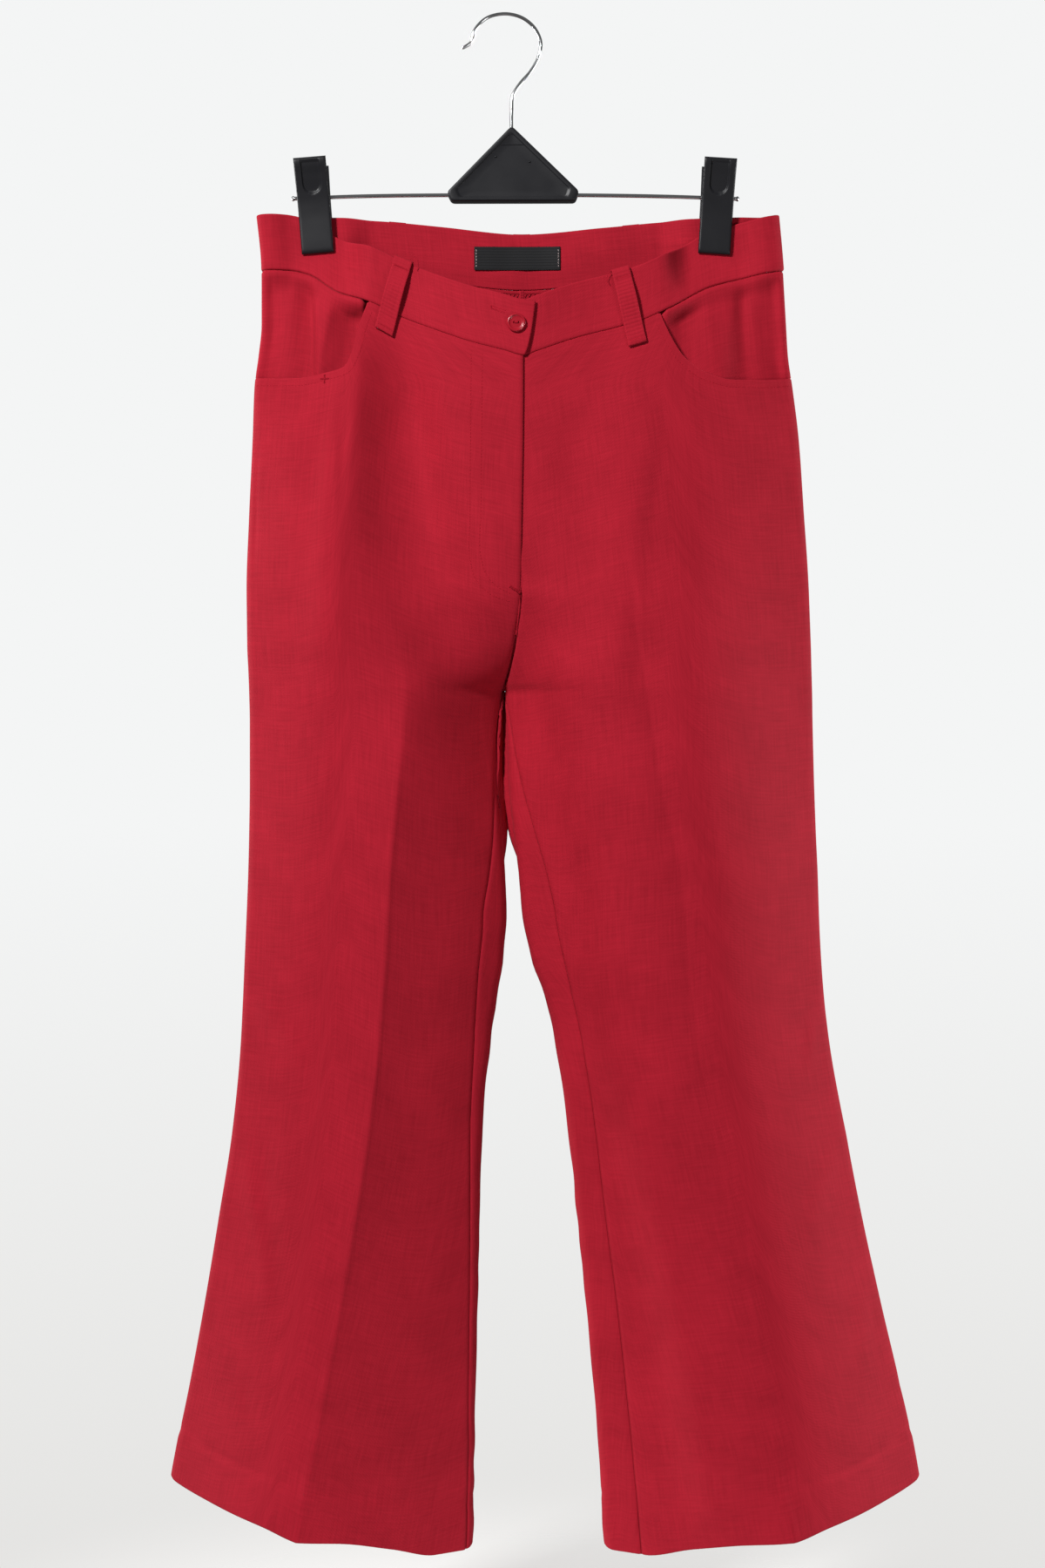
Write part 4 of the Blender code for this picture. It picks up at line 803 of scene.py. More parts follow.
def leg_panel(half, front):
    """Middle of one leg panel and its wall: rows from the waist or pocket edge down to the hem."""

    def turns(level):
        seam = float(half.inseam_turn(np.array(level)))
        end = seam if front else 1 + seam * (level <= CROTCH_HEIGHT)
        return even_turns(half, 0.5, end, level, PANEL_MIDDLE_COLUMNS)

    levels = np.concatenate([
        np.arange(UPPER_LEVEL, -476, -5.0), np.arange(-476, -560, -2.5), np.arange(-560, LOWER_LEVEL, -6.0)
    ])
    upper_turn, lower_turn = turns(UPPER_LEVEL), turns(LOWER_LEVEL)
    rule = (lambda x: front_top(half, x)) if front else (lambda x: waist_height(x, False))
    edge = edge_height(half, upper_turn, -240, rule) - EDGE_STEPS[:, None]
    share = np.linspace(0, 1, 16)[1:-1, None]
    upper = edge[-1:] * (1 - share) + UPPER_LEVEL * share
    hem = curve_of(HEM, lower_turn % 1.0)
    share = np.linspace(0, 1, 15)[:-1, None]
    lower = LOWER_LEVEL * (1 - share) + (hem + EDGE_STEPS[-1]) * share
    hem_rows = hem + EDGE_STEPS[::-1, None]
    middle_rows = np.repeat(levels[:, None], len(upper_turn), axis=1)
    height = np.concatenate([edge, upper, middle_rows, lower, hem_rows])
    turn = np.concatenate([
        np.repeat(upper_turn[None], len(edge) + len(upper), axis=0), [turns(level) for level in levels],
        np.repeat(lower_turn[None], len(lower) + len(hem_rows), axis=0),
    ])
    points, normals = half.cloth(turn, height)
    hem = curve_of(HEM, turn % 1.0)
    relief = inseam_pucker(half, turn, height) - hem_line(turn, height, hem)
    wall = CLOTH_WALL + (HEM_WALL - CLOTH_WALL) * smoothstep((hem + HEM_DEPTH - height) / 3)
    return points + normals * (relief - CLOTH_WALL / 2)[..., None], wall


for side, half in HALVES.items():
    for part, band in (("front", f"suit_waistband_front_{side}"), ("back", "suit_waistband_back")):
        wall_piece(
            f"suit_{part}_{side}", *leg_panel(half, part == "front"), SUITING, (half.out < 0) == (part == "front"),
            [band], (f"{part}_{side}",), groove=("first_column", "last_column"), groove_depth=0.9,
        )

# %% [markdown]
# ## Seam allowance under the crotch
#
# The centre seam runs from the fly down under the crotch and up the back. Inside it the spare cloth is pressed open
# to both sides. That strip also closes the seam, so no light shows through its groove.

# %% Crotch seam allowance
ALLOWANCE_WIDTH = 13.0
ALLOWANCE_WALL = 0.8
ALLOWANCE_BEHIND = 1.7
ALLOWANCE_TOP = -440.0
half = HALVES["right"]
down = np.linspace(ALLOWANCE_TOP, CROTCH_HEIGHT + 0.01, 61)
up = down[-2::-1]
seam_x = np.concatenate([half.section("front_seam_x", down), half.section("back_seam_x", up)])
seam_y = np.concatenate([half.depth("front_seam_y", down), half.depth("back_seam_y", up)])
curve = smooth_path(np.stack([seam_x, seam_y, np.concatenate([down, up])], axis=1)[::6], 150)
inward = unit(np.cross(np.gradient(curve, axis=0), (-1.0, 0, 0)))
across = (spaced(ALLOWANCE_WIDTH, 5) - ALLOWANCE_WIDTH / 2)[:, None] * np.array([1.0, 0, 0])
middle = (curve + inward * (ALLOWANCE_BEHIND + ALLOWANCE_WALL / 2))[:, None] + across
wall_piece("crotch_seam_allowance", middle, ALLOWANCE_WALL, SUITING, False, ["suit_front_right", "suit_back_right"])

# %% [markdown]
# ## Pocket facings
#
# Inside each curved pocket opening shows the hip piece, the facing. It is flush where it is sewn into the side and
# waist seams, and sinks behind the front everywhere else.

# %% Pocket facings
FACING_WALL = 1.2
FACING_SINK = 4.6
FACING_UNDER = 18.0
FACING_LEVEL = -291.0
FACING_BOTTOM = -395.0
for side, half in HALVES.items():
    inner_turn = float(half.turn_at(np.array(half.pocket_end - half.out * FACING_UNDER), -260.0))
    turn = even_turns(half, 0.5, inner_turn, -260.0, 60)
    top = edge_height(half, turn, -220, lambda x: waist_height(x, True))
    height = top + (FACING_BOTTOM - top) * np.linspace(0, 1, 46)[:, None] ** 1.15
    points, normals = half.points(turn, height), half.normals(turn, height)
    x = points[..., 0]
    from_side = np.abs(x - half.section("side_x", height))
    beside_seam = smoothstep((height - FACING_LEVEL) / 4) * (1 - smoothstep(from_side / 10))
    from_end = (x - half.pocket_end) * half.out
    under_band = smoothstep(from_end / 5) * (1 - smoothstep((top - height - 1) / 14))
    sunk = (1 - beside_seam) * (1 - under_band)
    sink = (FACING_SINK + fold_depth(side + "_facing", x, height)) * sunk + FACING_WALL / 2
    wall_piece(
        f"suit_pocket_facing_{side}", points - normals * sink[..., None], FACING_WALL, SUITING, half.out < 0,
        [f"suit_waistband_front_{side}"], (f"pocket_facing_{side}",), groove=("first_row", "first_column"),
    )

# %% [markdown]
# ## Waistband
#
# The band is one long strip, folded along its top edge, so that edge is round and the others are seams. At the
# centre front its right end lies on top and comes to a slanted tip, and its left end runs on underneath.

# %% Waistband
BAND_WALL = 2.4
BAND_PROUD = 0.5
BAND_HEIGHT = 44.0
BAND_TIP_REACH = 9.6
UNDERLAP_REACH = 22.0
UNDERLAP_DROP = 3.6
BAND_END_SHARES = np.array([0.15, 0.3, 0.45, 0.6, 0.72, 0.82, 0.9, 0.96, 0.985, 1.0])


def band_middle(half, turn, front):
    """Middle of a band over a half: rows from its folded top edge down to the waist seam, each point a little in or
    out by a product of two slow sines, as a hand-pressed band has."""
    rise = BAND_HEIGHT - spaced(BAND_HEIGHT, 14)[:, None]
    height = edge_height(half, turn, -230 if front else -205, lambda x: waist_height(x, front)) + rise
    points, normals = half.points(turn, height), half.normals(turn, height)
    x = points[..., 0]
    wander = 0.35 * np.sin(x / 11.0 + height / 17.0) * np.sin(x / 29.0 + half.out)
    return points + normals * (BAND_PROUD - BAND_WALL / 2 + wander)[..., None], rise / BAND_HEIGHT


for side, half in HALVES.items():
    middle, share = band_middle(half, even_turns(half, 0.5, 0.0, -240.0, 70), True)
    if side == "right":
        end = np.concatenate([BAND_TIP_REACH * np.sqrt(share), 0.6 * share, -1.5 * share], axis=1)
    else:
        end = np.array([-UNDERLAP_REACH, UNDERLAP_DROP, -1.0]) + 0 * share
    middle = np.concatenate([middle, middle[:, -1:] + BAND_END_SHARES[None, :, None] * end[:, None]], axis=1)
    wall_piece(
        f"suit_waistband_front_{side}", middle, BAND_WALL, SUITING, half.out < 0, [f"jaw_{side}_front"],
        (f"waistband_front_{side}",), groove=("last_row", "first_column"), groove_depth=0.4,
    )

right, left = (band_middle(half, even_turns(half, 0.5, 1.0, -240.0, 70), False)[0] for half in HALVES.values())
crowded = len(EDGE_STEPS) - 1
middle = np.concatenate([right[:, :-crowded], left[:, -crowded - 1 :: -1]], axis=1)
wall_piece(
    "suit_waistband_back", middle, BAND_WALL, SUITING, False, ["jaw_right_back", "jaw_left_back"],
    ("waistband_back",), groove=("last_row", "first_column", "last_column"), groove_depth=0.4,
)

# %% [markdown]
# ## Belt loops
#
# A loop is a narrow folded strip. Here it starts behind the band, bends over the top edge, stands a little off the
# band so that a belt can pass, and is sewn down below the waist seam, where its end is turned under.

# %% Belt loops
LOOP_WALL = 1.6
LOOP_WIDTH = 14.0
LOOP_TAIL = 19.0
# A row is name, top x, bottom x, whether it is on the front
LOOPS = (
    ("front_right", -81.5, -97.0, True),
    ("front_left", 88.5, 101.5, True),
    ("back_right", -88.0, -90.0, False),
    ("back_centre", 11.0, 11.0, False),
    ("back_left", 98.0, 100.0, False),
)
# A row is rise above the waist seam, stand-off from the cloth; a back loop starts in the seam of the band's edge
LOOP_PATH = (
    (37, -3.5), (43, -3.5), (45.4, -2.9), (46.2, -0.8), (45.4, 1.8), (43, 2.6), (36, 3), (28, 4.2), (18, 4.6),
    (8, 4), (2, 3.2), (-5, 2.4), (-15, 2.1), (-18.2, 1.9), (-19, 1.4),
)
BACK_LOOP_PATH = (
    (43.4, 0.2), (43.9, 0.9), (43.2, 1.9), (40, 2.6), (34, 3.3), (24, 3.8), (12, 3.6), (4, 3), (-3, 2.4),
    (-15, 2.1), (-18.2, 1.9), (-19, 1.4),
)
LOOP_RIB_MM = 3.1
LOOP_ACROSS = np.concatenate([
    EDGE_STEPS[:5] - LOOP_WIDTH / 2, np.array([-0.25, 0, 0.25]) * LOOP_WIDTH, LOOP_WIDTH / 2 - EDGE_STEPS[4::-1]
])


def loop_x(loop, rise):
    """x of a loop's middle at a rise above the waist seam: straight from its top to its sewn end."""
    return loop[1] + (loop[2] - loop[1]) * (BAND_HEIGHT - rise) / (BAND_HEIGHT + LOOP_TAIL)


for loop in LOOPS:
    name, front = loop[0], loop[3]
    rise, stand_off = np.split(smooth_path(LOOP_PATH if front else BACK_LOOP_PATH, 96), 2, axis=1)
    x = loop_x(loop, rise) + LOOP_ACROSS
    points, normals = face_at(x, rise + waist_height(x, front), front)
    along = arc(np.concatenate([rise, stand_off], axis=1)[None], 1).T
    share = LOOP_ACROSS / LOOP_WIDTH
    ribs = 0.24 * np.sin(TAU * along / LOOP_RIB_MM + 0.4 * share) * (1 - (2 * np.abs(share)) ** 4)
    band = "suit_waistband_" + (name if front else "back")
    wall_piece(
        f"suit_belt_loop_{name}", points + normals * (stand_off + ribs)[..., None], LOOP_WALL, SUITING, front,
        [band], (f"belt_loop_{name}",),
    )

# %% [markdown]
# ## Stitching
#
# A line of topstitching is hundreds of short thread bars, each sunk a little at its ends. One function makes them
# all at once: it walks a line on the cloth, takes a place every few millimetres and puts a small closed bead
# there, long along the line and round across it.

# %% Stitching
BEAD_RINGS = 5
BEAD_SIDES = 6


def beads(centres, along, normals, length, width, proud):
    """Closed beads: an ellipsoid for each centre, half a length long, half a width wide and proud by its height."""
    side = unit(np.cross(along, normals))
    lift = unit(np.cross(side, along))
    theta = np.linspace(np.pi - 0.12, 0.12, BEAD_RINGS)[:, None, None]
    phi = np.linspace(0, 2 * np.pi, BEAD_SIDES, endpoint=False)[None, :, None]
    centre, along, side, lift = (a[:, None, None] for a in (centres, along, side, lift))
    round_part = side * np.cos(phi) * width / 2 + lift * np.sin(phi) * proud
    points = centre + along * np.cos(theta) * length / 2 + np.sin(theta) * round_part
    starts = np.arange(0, points.size // 3, BEAD_RINGS * BEAD_SIDES)
    return points.reshape(-1, 3), tube_faces(BEAD_RINGS, BEAD_SIDES, starts)


def on_cloth(line, front, lift, step):
    """Places every step along a line of (x, height), lifted off the cloth: (points, directions, normals)."""
    line = np.asarray(line, float)
    reach = arc(line[None], 1)[0]
    count = max(2, int(round(reach[-1] / step)))
    at = (np.arange(count) + 0.5) * reach[-1] / count
    points, normals = face_at(np.interp(at, reach, line[:, 0]), np.interp(at, reach, line[:, 1]), front)
    points = points + normals * lift
    return points, unit(np.gradient(points, axis=0)), normals


def run_stitches(line, front, lift, step, length, width, proud):
    """Stitches one behind another along a line, as topstitching has."""
    return beads(*on_cloth(line, front, lift, step), length, width, proud)


def bar_stitches(line, front, lift, step, length, width, proud):
    """Stitches side by side, square to their line, as a bar tack or a buttonhole has."""
    points, along, normals = on_cloth(line, front, lift, step)
    return beads(points, np.cross(along, normals), normals, length, width, proud)


def stitch_piece(name, parts):
    """Lines of stitches joined into one piece of sewing thread."""
    finish_piece(name, *join_parts(parts), THREAD)


print("stitch helpers ready")

# %% Topstitching and bar tacks
STITCH_MM = 2.6
STITCH = (0.02, STITCH_MM, STITCH_MM * 0.8, 0.5)
FLY_LINES = (
    ((-19.5, -273.5), (-20.0, -330), (-20.6, -400), (-20.8, -432), (-17.5, -444), (-9.0, -455), (2.5, -461)),
    ((-28.2, -271.0), (-28.6, -330), (-29.0, -400), (-28.8, -436), (-24.5, -450), (-13.0, -461.5), (2.0, -467)),
)
fly_parts = [run_stitches(smooth_path(line, 60), True, *STITCH, 0.26) for line in FLY_LINES]
fly_parts.append(bar_stitches(((1.5, -455.0), (10.0, -460.5)), True, 0.1, 0.7, 2.4, 0.6, 0.35))
stitch_piece("fly_topstitching", fly_parts)

POCKET_STITCH_FROM_EDGE = 6.0
pocket_parts = []
for half in HALVES.values():
    x = np.linspace(half.pocket[0][0], half.pocket[-1][0], 120)
    line = np.stack([x, curve_of(half.pocket, x)], axis=1)
    along = unit(np.gradient(line, axis=0))
    line = line + np.stack([along[:, 1], -along[:, 0]], axis=1) * POCKET_STITCH_FROM_EDGE
    pocket_parts.append(run_stitches(line[3:-3], True, *STITCH, 0.22))
for line in (((-146.5, -292.5), (-139.5, -292.5)), ((-143.0, -289.0), (-143.0, -296.5))):
    pocket_parts.append(bar_stitches(line, True, 0.15, 0.6, 1.5, 0.5, 0.35))
stitch_piece("pocket_topstitching", pocket_parts)

# A row is rise above the waist seam, lift off the cloth
LOOP_TACKS = ((-15.0, 2.8), (37.5, 3.7))
tack_parts = []
for loop in LOOPS:
    for rise, lift in LOOP_TACKS:
        x = loop_x(loop, rise) + np.array([-0.4, 0.4]) * LOOP_WIDTH
        line = np.stack([x, waist_height(x, loop[3]) + rise], axis=1)
        tack_parts.append(bar_stitches(line, loop[3], lift, 0.7, 1.9, 0.6, 0.3))
stitch_piece("belt_loop_tacks", tack_parts)

# %% [markdown]
# ## Buttonhole, button and label
#
# The buttonhole is a slit bound by dense small stitches that run square to it. The button is turned from polyester
# resin: a rim, a dish and two holes, sewn on with a few strands. The label's place has a plain black woven patch.

# %% Buttonhole
HOLE_LINE = ((-12.5, -238.3), (-1.4, -242.2))
HOLE_STITCH_MM = 0.75
hole_parts = []
for shift in (-0.9, 0.9):
    line = np.array(HOLE_LINE) + np.array([0.3, 1.0]) * shift
    hole_parts.append(bar_stitches(line, True, BAND_PROUD + 0.15, HOLE_STITCH_MM, 1.7, HOLE_STITCH_MM, 0.32))
line = ((-12.9, -237.0), (-12.1, -240.0))
hole_parts.append(bar_stitches(line, True, BAND_PROUD + 0.2, 0.6, 1.6, 0.6, 0.35))
stitch_piece("buttonhole_stitching", hole_parts)

# %% Button
BUTTON_PLACE = (6.9, -251.0)
BUTTON_PROFILE = (
    (0, 1.75), (2, 1.75), (4.4, 1.8), (5.1, 2), (5.6, 2.45), (6.2, 2.62), (6.8, 2.4), (7.25, 1.9), (7.4, 1.3),
    (7.25, 0.7), (6.8, 0.2), (6.2, 0.02), (0, 0),
)
HOLE_APART = 3.4
HOLE_RADIUS = 0.85
RESIN, _, _ = new_material(
    "turned_polyester_resin", "button_resin", Base_Color=linear("#A01224"), Roughness=0.24, IOR=1.5,
    Coat_Weight=0.15,
)
seat, seat_normal = face_at(*np.array(BUTTON_PLACE), True)
seat = seat + seat_normal * (BAND_PROUD + 0.3)
profile = smooth_path(BUTTON_PROFILE, 120)
radius, rise = np.maximum(profile[:, :1], 0.02), profile[:, 1:]
angle = np.linspace(0, 2 * np.pi, 96, endpoint=False)
across, up = radius * np.cos(angle), radius * np.sin(angle)
rise = rise + 0 * across
for hole_x in (-HOLE_APART / 2, HOLE_APART / 2):
    away = np.hypot(across - hole_x, up)
    rise = rise - 1.5 * (1 - smoothstep((away - HOLE_RADIUS * 0.6) / 0.45)) * (rise > 1.0)
points = np.stack([seat[0] + across, seat[1] - rise, seat[2] + up], axis=-1)
finish_piece("button_resin", points, tube_faces(*rise.shape), RESIN, ("button",))
reach = HOLE_APART / 2
strand = np.array([
    [-reach, -0.9, 0], [0.3 - reach, -2.1, 0], [0, -2.35, 0], [reach - 0.3, -2.1, 0], [reach, -0.9, 0]
])
stitch_piece("button_thread", [
    tube_arrays(smooth_path(strand + seat + np.array([0, 0, shift]), 24), 0.2, (0, 0, 1.0), sides=6, end_steps=3)
    for shift in (-0.35, 0.0, 0.35)
])

# %% Label
LABEL_SIZE = (69.0, 18.5)
LABEL_WALL = 1.0
LABEL_X = 7.6
LABEL_TOP = -180.5
LABEL_RIB_MM = 1.1
LABEL, tree, shader = new_material(
    "woven_polyester_satin_label", "woven_label", Roughness=0.6, Specular_IOR_Level=0.25
)
cloth_map = add_node(tree, "UVMap", uv_map="cloth")
ribs = add_node(tree, "TexWave", {
    "Vector": cloth_map, "Scale": 1000 / LABEL_RIB_MM / TAU, "Distortion": 0.6}, bands_direction="Y").outputs["Fac"]
colour = add_node(tree, "Mix", {0: ribs, 6: linear("#08080A"), 7: linear("#151518")}, data_type="RGBA")
bump = add_node(tree, "Bump", {"Height": ribs, "Strength": 0.3, "Distance": 0.0002})
feed(shader, {"Base Color": colour.outputs[2], "Normal": bump})
x = LABEL_X - LABEL_SIZE[0] / 2 + spaced(LABEL_SIZE[0], 24)
x, height = np.broadcast_arrays(x, LABEL_TOP - spaced(LABEL_SIZE[1], 8)[:, None])
points, normals = face_at(x, height, False)
behind = BAND_WALL - BAND_PROUD + 0.1 + LABEL_WALL / 2
middle = points - normals * (behind + 0.15 * np.sin(x / 9.0) ** 2)[..., None]
wall_piece("woven_label_patch", middle, LABEL_WALL * 0.8, LABEL, True, ["suit_waistband_back"], ("label",))
LABEL_THREAD, _, _ = new_material("pale_spun_thread", "woven_label", Base_Color=linear("#C9B6B4"), Roughness=0.6)
ends = []
for shift in (1.6 - LABEL_SIZE[0] / 2, LABEL_SIZE[0] / 2 - 1.6):
    line = ((LABEL_X + shift, LABEL_TOP - 2), (LABEL_X + shift, LABEL_TOP - LABEL_SIZE[1] + 2))
    points, along, normals = on_cloth(line, False, -behind - 0.5, 2.4)
    ends.append(beads(points, along, -normals, 1.8, 0.5, 0.25))
finish_piece("label_end_stitching", *join_parts(ends), LABEL_THREAD)

# %% [markdown]
# ## Finishing inside and loose threads
#
# Behind the dip of the front the inside shows: overlocking thread in a zigzag between two rows, along the band's
# lower edge. Two cut thread ends hang by the front belt loops. The zip lies behind the fly.

# %% Overlocking and thread ends
ZIGZAG_MM = 3.2
ZIGZAG_HEIGHT = 3.0
Y_UP = (0, 1.0, 0.01)


def inside_thread(x, drop, behind, radius):
    """A thin tube along the inside of the band's lower edge, at a drop below it."""
    points, normals = face_at(x, waist_height(x, False) - drop, False)
    return tube_arrays(points - normals * (CLOTH_WALL + behind), radius, Y_UP, sides=5, end_steps=2)


x = np.linspace(-120, 138, int(258 / ZIGZAG_MM * 2))
line_x = np.linspace(-120, 138, 160)
stitch_piece("waist_overlocking", [
    inside_thread(x, 2.2 + ZIGZAG_HEIGHT * (np.arange(len(x)) % 2), 0.3, 0.28),
    inside_thread(line_x, 2.2, 0.25, 0.25), inside_thread(line_x, 7.2, 0.25, 0.25),
])

# A row of places, each x, height and lift from the cloth
THREAD_ENDS = (
    ((-76, -199, 2.0), (-72, -197, 3.0), (-69.5, -201, 2.6), (-70.5, -208, 1.2)),
    ((83, -207, 2.0), (79, -209, 3.0), (77.5, -214, 2.4), (80, -219, 1.2)),
)
ends = []
for x, height, lift in (np.array(rows).T for rows in THREAD_ENDS):
    points, normals = face_at(x, height, True)
    path = smooth_path(points + normals * lift[:, None], 24)
    ends.append(tube_arrays(path, 0.22, (0, 1.0, 0.02), sides=6, end_steps=2))
stitch_piece("loose_thread_ends", ends)

# %% Zip tape and teeth
TEETH = 92
KNIT_MM = 1.2
TAPE, tree, shader = new_material("knitted_polyester_tape", "zip_tape", Roughness=0.8)
place = add_node(tree, "TexCoord").outputs["Object"]
knit = add_node(tree, "TexWave", {
    "Vector": place, "Scale": 1000 / KNIT_MM / TAU, "Distortion": 1.0}, bands_direction="Z").outputs["Fac"]
colour = add_node(tree, "Mix", {0: knit, 6: linear("#84121F"), 7: linear("#9A1A2A")}, data_type="RGBA")
feed(shader, {"Base Color": colour.outputs[2]})
height = np.linspace(-300, -438, TEETH)
x = 1.55 + 0.9 * (np.arange(TEETH) % 2)
centre = np.stack([x, HALVES["left"].depth("front_seam_y", height) + 4.25, height], axis=1)
along, normals = (np.repeat([direction], TEETH, axis=0) for direction in ((1.0, 0, 0), (0, -1.0, 0)))
finish_piece("fly_zip_teeth", *beads(centre, along, normals, 2.6, 1.1, 0.5), TAPE)

# %% [markdown]
# ## The hanger
#
# Hook and rod are drawn steel wire with a bright chrome plate. Hub and clips are injection-moulded polypropylene:
# black, a soft gloss, a fine grain from the mould. The moulded shapes are a profile carried round an outline.

# %% Chrome and plastic
CHROME, _, _ = new_material(
    "chrome_plated_steel_wire", "chromed_wire", Base_Color=linear("#D9DADC"), Roughness=0.14, Metallic=1.0
)
PLASTIC, tree, shader = new_material(
    "moulded_polypropylene", "black_polypropylene", Base_Color=linear("#1D1D20"), Specular_IOR_Level=0.25
)
place = add_node(tree, "TexCoord").outputs["Object"]
grain, cloud = (
    add_node(tree, "TexNoise", {"Vector": place, "Scale": scale, "Detail": detail})
    for scale, detail in ((1600.0, 2.0), (60.0, 3.0))
)
rough = add_node(tree, "MapRange", {"Value": cloud, "To Min": 0.34, "To Max": 0.5})
bump = add_node(tree, "Bump", {"Height": grain, "Strength": 0.12, "Distance": 0.0002})
feed(shader, {"Roughness": rough, "Normal": bump})
for node, material in (("fly_zip", TAPE), ("fly_zip_slider", CHROME)):
    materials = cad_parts[node].data.materials
    materials.clear()
    materials.append(material)
print("chrome and plastic ready")

# %% Hook and rod
WIRE_RADIUS = 1.3
ROD_RADIUS = 1.5
HOOK_ROUTE = (
    (-36.6, -26.2), (-29.6, -21.8), (-26.4, -12.0), (-17.6, -2.6), (-2.0, 1.3), (11.4, -1.8), (21.6, -10.4),
    (26.2, -21.6), (24.2, -33.4), (18.0, -44.4), (9.4, -54.4), (4.2, -63.0), (3.1, -76.0), (3.1, -98.0),
)
ROD_ROUTE = ((-170, -145.2), (-120, -143.4), (-40, -142.4), (50, -142.4), (130, -143.6), (182, -145.4))
FORWARD = (0, 1.0, 0)
hook = tube_arrays(smooth_path([(x, 0, z) for x, z in HOOK_ROUTE], 160), WIRE_RADIUS, FORWARD, sides=20)
finish_piece("hook_wire", *hook, CHROME, ("hanger_hook",))
rod_path = smooth_path([(x, 0, z) for x, z in ROD_ROUTE], 120)
rod_parts = [tube_arrays(rod_path, ROD_RADIUS, FORWARD, sides=20)]
for tip, second in ((rod_path[0], rod_path[2]), (rod_path[-1], rod_path[-3])):
    direction = unit((second - tip)[None])
    path = tip + np.linspace(-1.6, 1.6, 9)[:, None] * direction
    rod_parts.append(tube_arrays(path, ROD_RADIUS * 1.45, FORWARD, sides=20))
finish_piece("rod_wire", *join_parts(rod_parts), CHROME, ("hanger_rod",))

# %% Hub
HUB_MIDDLE = (3.1, -127.0)
HUB_HALF_THICK = 5.5
# A row is x and z of a corner, and its radius
HUB_OUTLINE = (
    (3.1, -88.5, 4), (56.6, -140.2, 3), (53.6, -148, 2.5), (-44.6, -148.2, 2.5), (-48.2, -141, 3),
)
# A row is share of the way in to the middle, share of the half thickness
HUB_PROFILE = (
    (0, 0), (0, 0.7), (0.006, 0.88), (0.022, 0.97), (0.05, 1), (0.11, 1), (0.135, 0.97), (0.15, 0.86), (0.17, 0.83),
    (0.4, 0.83), (0.7, 0.83), (0.97, 0.83),
)
# A row is x0, z0, x1, z1 and width
HUB_MARKS = ((-8.5, -103.6, 15.6, -103.6, 0.8), (-10.6, -113.2, -8.4, -113.2, 1.6), (16.4, -117.3, 18.4, -117.3, 1.6))
corner, corner_radius = np.split(np.array(HUB_OUTLINE), [2], axis=1)
start, end = (corner + unit(np.roll(corner, turn, axis=0) - corner) * corner_radius for turn in (1, -1))
t = np.linspace(0, 1, 9)[None, :, None]
rounded = start[:, None] * (1 - t) ** 2 + 2 * corner[:, None] * t * (1 - t) + end[:, None] * t**2
rounded = rounded.reshape(-1, 2)
# The profile runs from the middle of the back over the rim to the middle of the front
inward, depth = np.array(HUB_PROFILE).T[:, :, None]
inward = np.concatenate([inward[::-1], inward[1:]])
depth = np.concatenate([depth[::-1], -depth[1:]]) * HUB_HALF_THICK
ring = rounded + (HUB_MIDDLE - rounded) * inward[..., None]
grid = np.stack([ring[..., 0], np.broadcast_to(depth, ring.shape[:2]), ring[..., 1]], axis=-1)
finish_piece("hub_moulding", grid, tube_faces(*grid.shape[:2]), PLASTIC, ("hanger_hub",), sharp=40)
marks = []
for x0, z0, x1, z1, width in HUB_MARKS:
    path = np.linspace((x0, -HUB_HALF_THICK * 0.83, z0), (x1, -HUB_HALF_THICK * 0.83, z1), 6)
    marks.append(tube_arrays(path, width / 2, FORWARD, sides=8, end_steps=3))
finish_piece("hub_mould_marks", *join_parts(marks), PLASTIC)

# %% Clips and springs
JAW_WIDTH = 25.5
JAW_LENGTH = 73.5
JAW_EDGE = 1.3
# A row is rise from the lower end, inner depth, outer depth
JAW_PROFILE = (
    (0, 3.2, 4.9), (2, 3.1, 6.0), (8, 3.1, 6.3), (26, 3.1, 6.7), (38, 3.6, 7.7), (47, 3.9, 9.4), (60, 8.3, 13.0),
    (71, 12.2, 16.0), (73.5, 13.2, 15.2),
)
RECESS_LOW = 46.0
RECESS_HIGH = 71.0
RECESS_HALF_WIDTH = 7.6
RECESS_DEPTH = 1.6
SPRING_TURNS = 9
SPRING_RADIUS = 3.4
SPRING_WIRE = 0.55
SPRING_LENGTH = 19.0


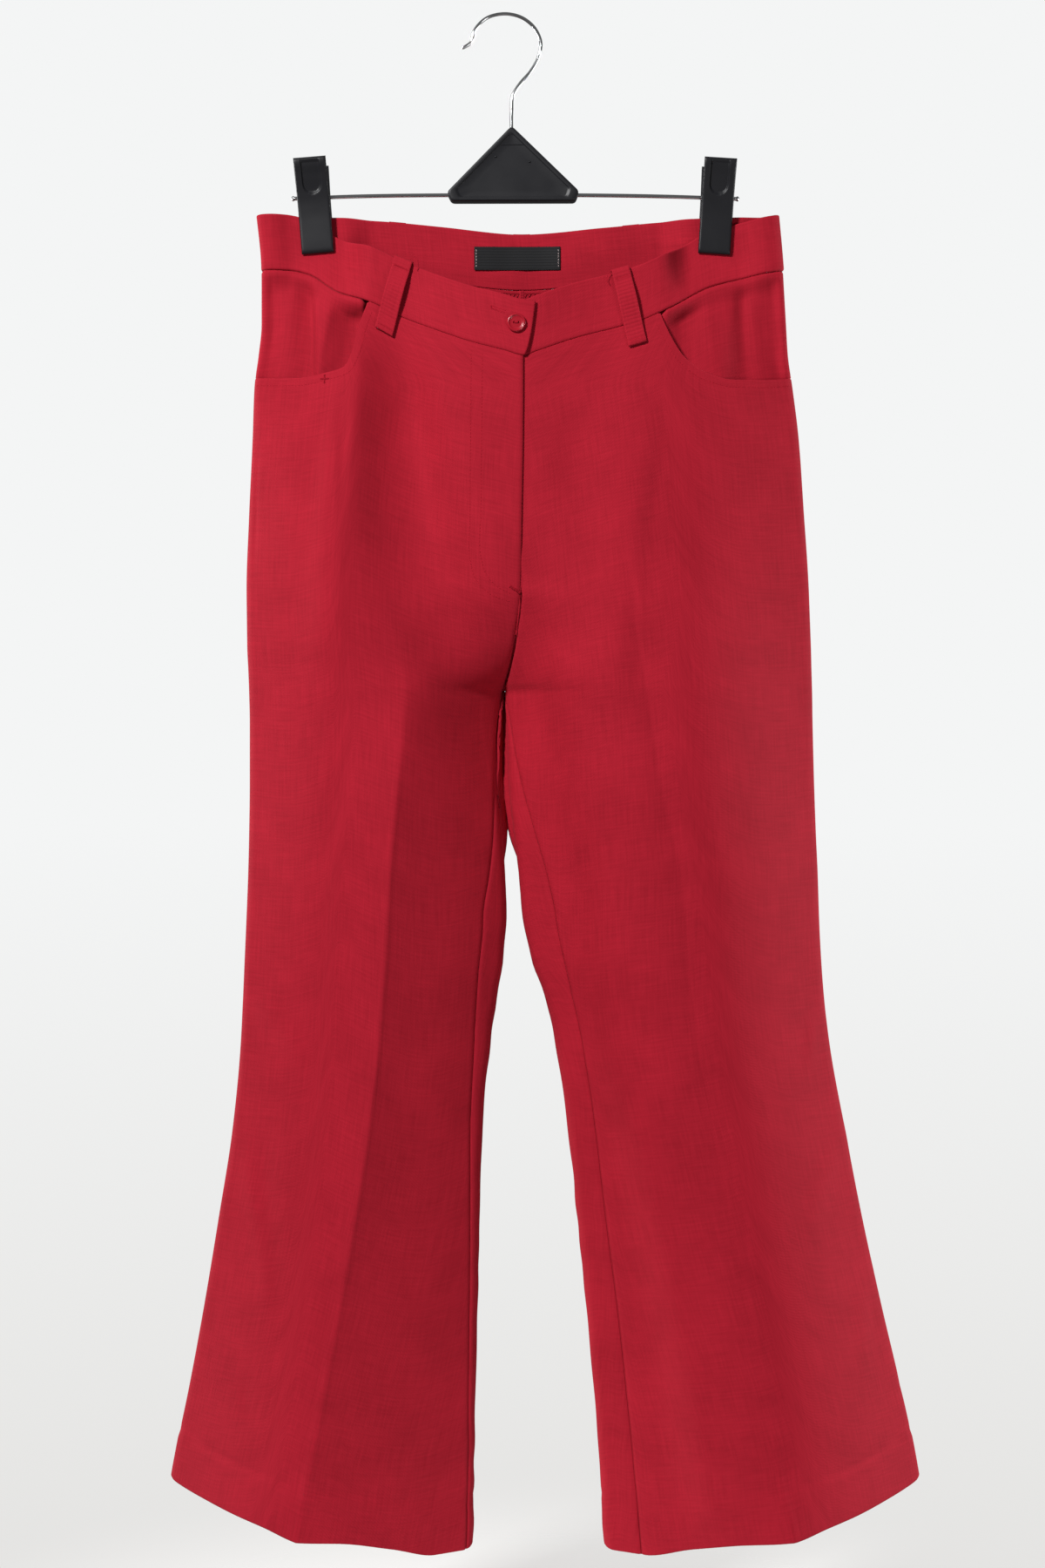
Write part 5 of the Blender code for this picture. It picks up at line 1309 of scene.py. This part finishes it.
def jaw(side, face, away, lower_x, upper_x, upper_height):
    """A moulded jaw: its side profile carried across its width, rounded at the rims, with a U-shaped thumb dish."""
    rise, across = (
        np.concatenate([EDGE_STEPS[:5], np.linspace(2.4, length - 2.4, count), length - EDGE_STEPS[4::-1]])
        for length, count in ((JAW_LENGTH, 60), (JAW_WIDTH, 40))
    )
    half_width = JAW_WIDTH / 2
    rows = np.array(JAW_PROFILE)
    inner = np.interp(rise, rows[:, 0], rows[:, 1])[:, None]
    outer = curve_of(JAW_PROFILE, rise, 2)[:, None]
    a, r = np.meshgrid(across - half_width, rise)
    inside = np.hypot(a, np.minimum(r - (RECESS_LOW + RECESS_HALF_WIDTH), 0)) - RECESS_HALF_WIDTH
    dish = RECESS_DEPTH * smoothstep(-inside / 1.1) * smoothstep((RECESS_HIGH - r) / 1.2)
    rim = np.minimum(np.minimum(half_width - np.abs(a), r), JAW_LENGTH - r)
    edge = quarter_arc(rim / JAW_EDGE)
    middle, half_thick = (inner + outer) / 2, np.maximum((outer - inner) / 2 * edge, 0.08)
    y = away * np.stack([middle + half_thick - dish * edge, middle - half_thick])
    lean = (upper_x - lower_x) / JAW_LENGTH
    x, z = lower_x + a + lean * r + 0 * y, upper_height - JAW_LENGTH + r - lean * a + 0 * y
    faces = shell_faces(*a.shape)
    faces = faces if away > 0 else faces[:, ::-1]
    finish_piece(f"jaw_{side}_{face}", np.stack([x, y, z], axis=-1), faces, PLASTIC, (f"clip_{side}_{face}",))


rod_x, rod_z = np.array(ROD_ROUTE, float).T
turn = np.linspace(0, 2 * np.pi * SPRING_TURNS, SPRING_TURNS * 18)
coil_radius = SPRING_RADIUS - SPRING_WIRE
for side, lower_x, upper_x, upper_height in CLIPS:
    for face, away in (("front", -1), ("back", 1)):
        jaw(side, face, away, lower_x, upper_x, upper_height)
    x = lower_x + (upper_x - lower_x) * 0.6 + (turn / turn[-1] - 0.5) * (SPRING_LENGTH - 2 * SPRING_WIRE)
    z = np.interp(x, rod_x, rod_z) + coil_radius * np.sin(turn)
    coil = tube_arrays(np.stack([x, coil_radius * np.cos(turn), z], axis=1), SPRING_WIRE, (1.0, 0, 0), 8, 3)
    finish_piece(f"spring_{side}", *coil, CHROME, (f"clip_{side}_spring",))
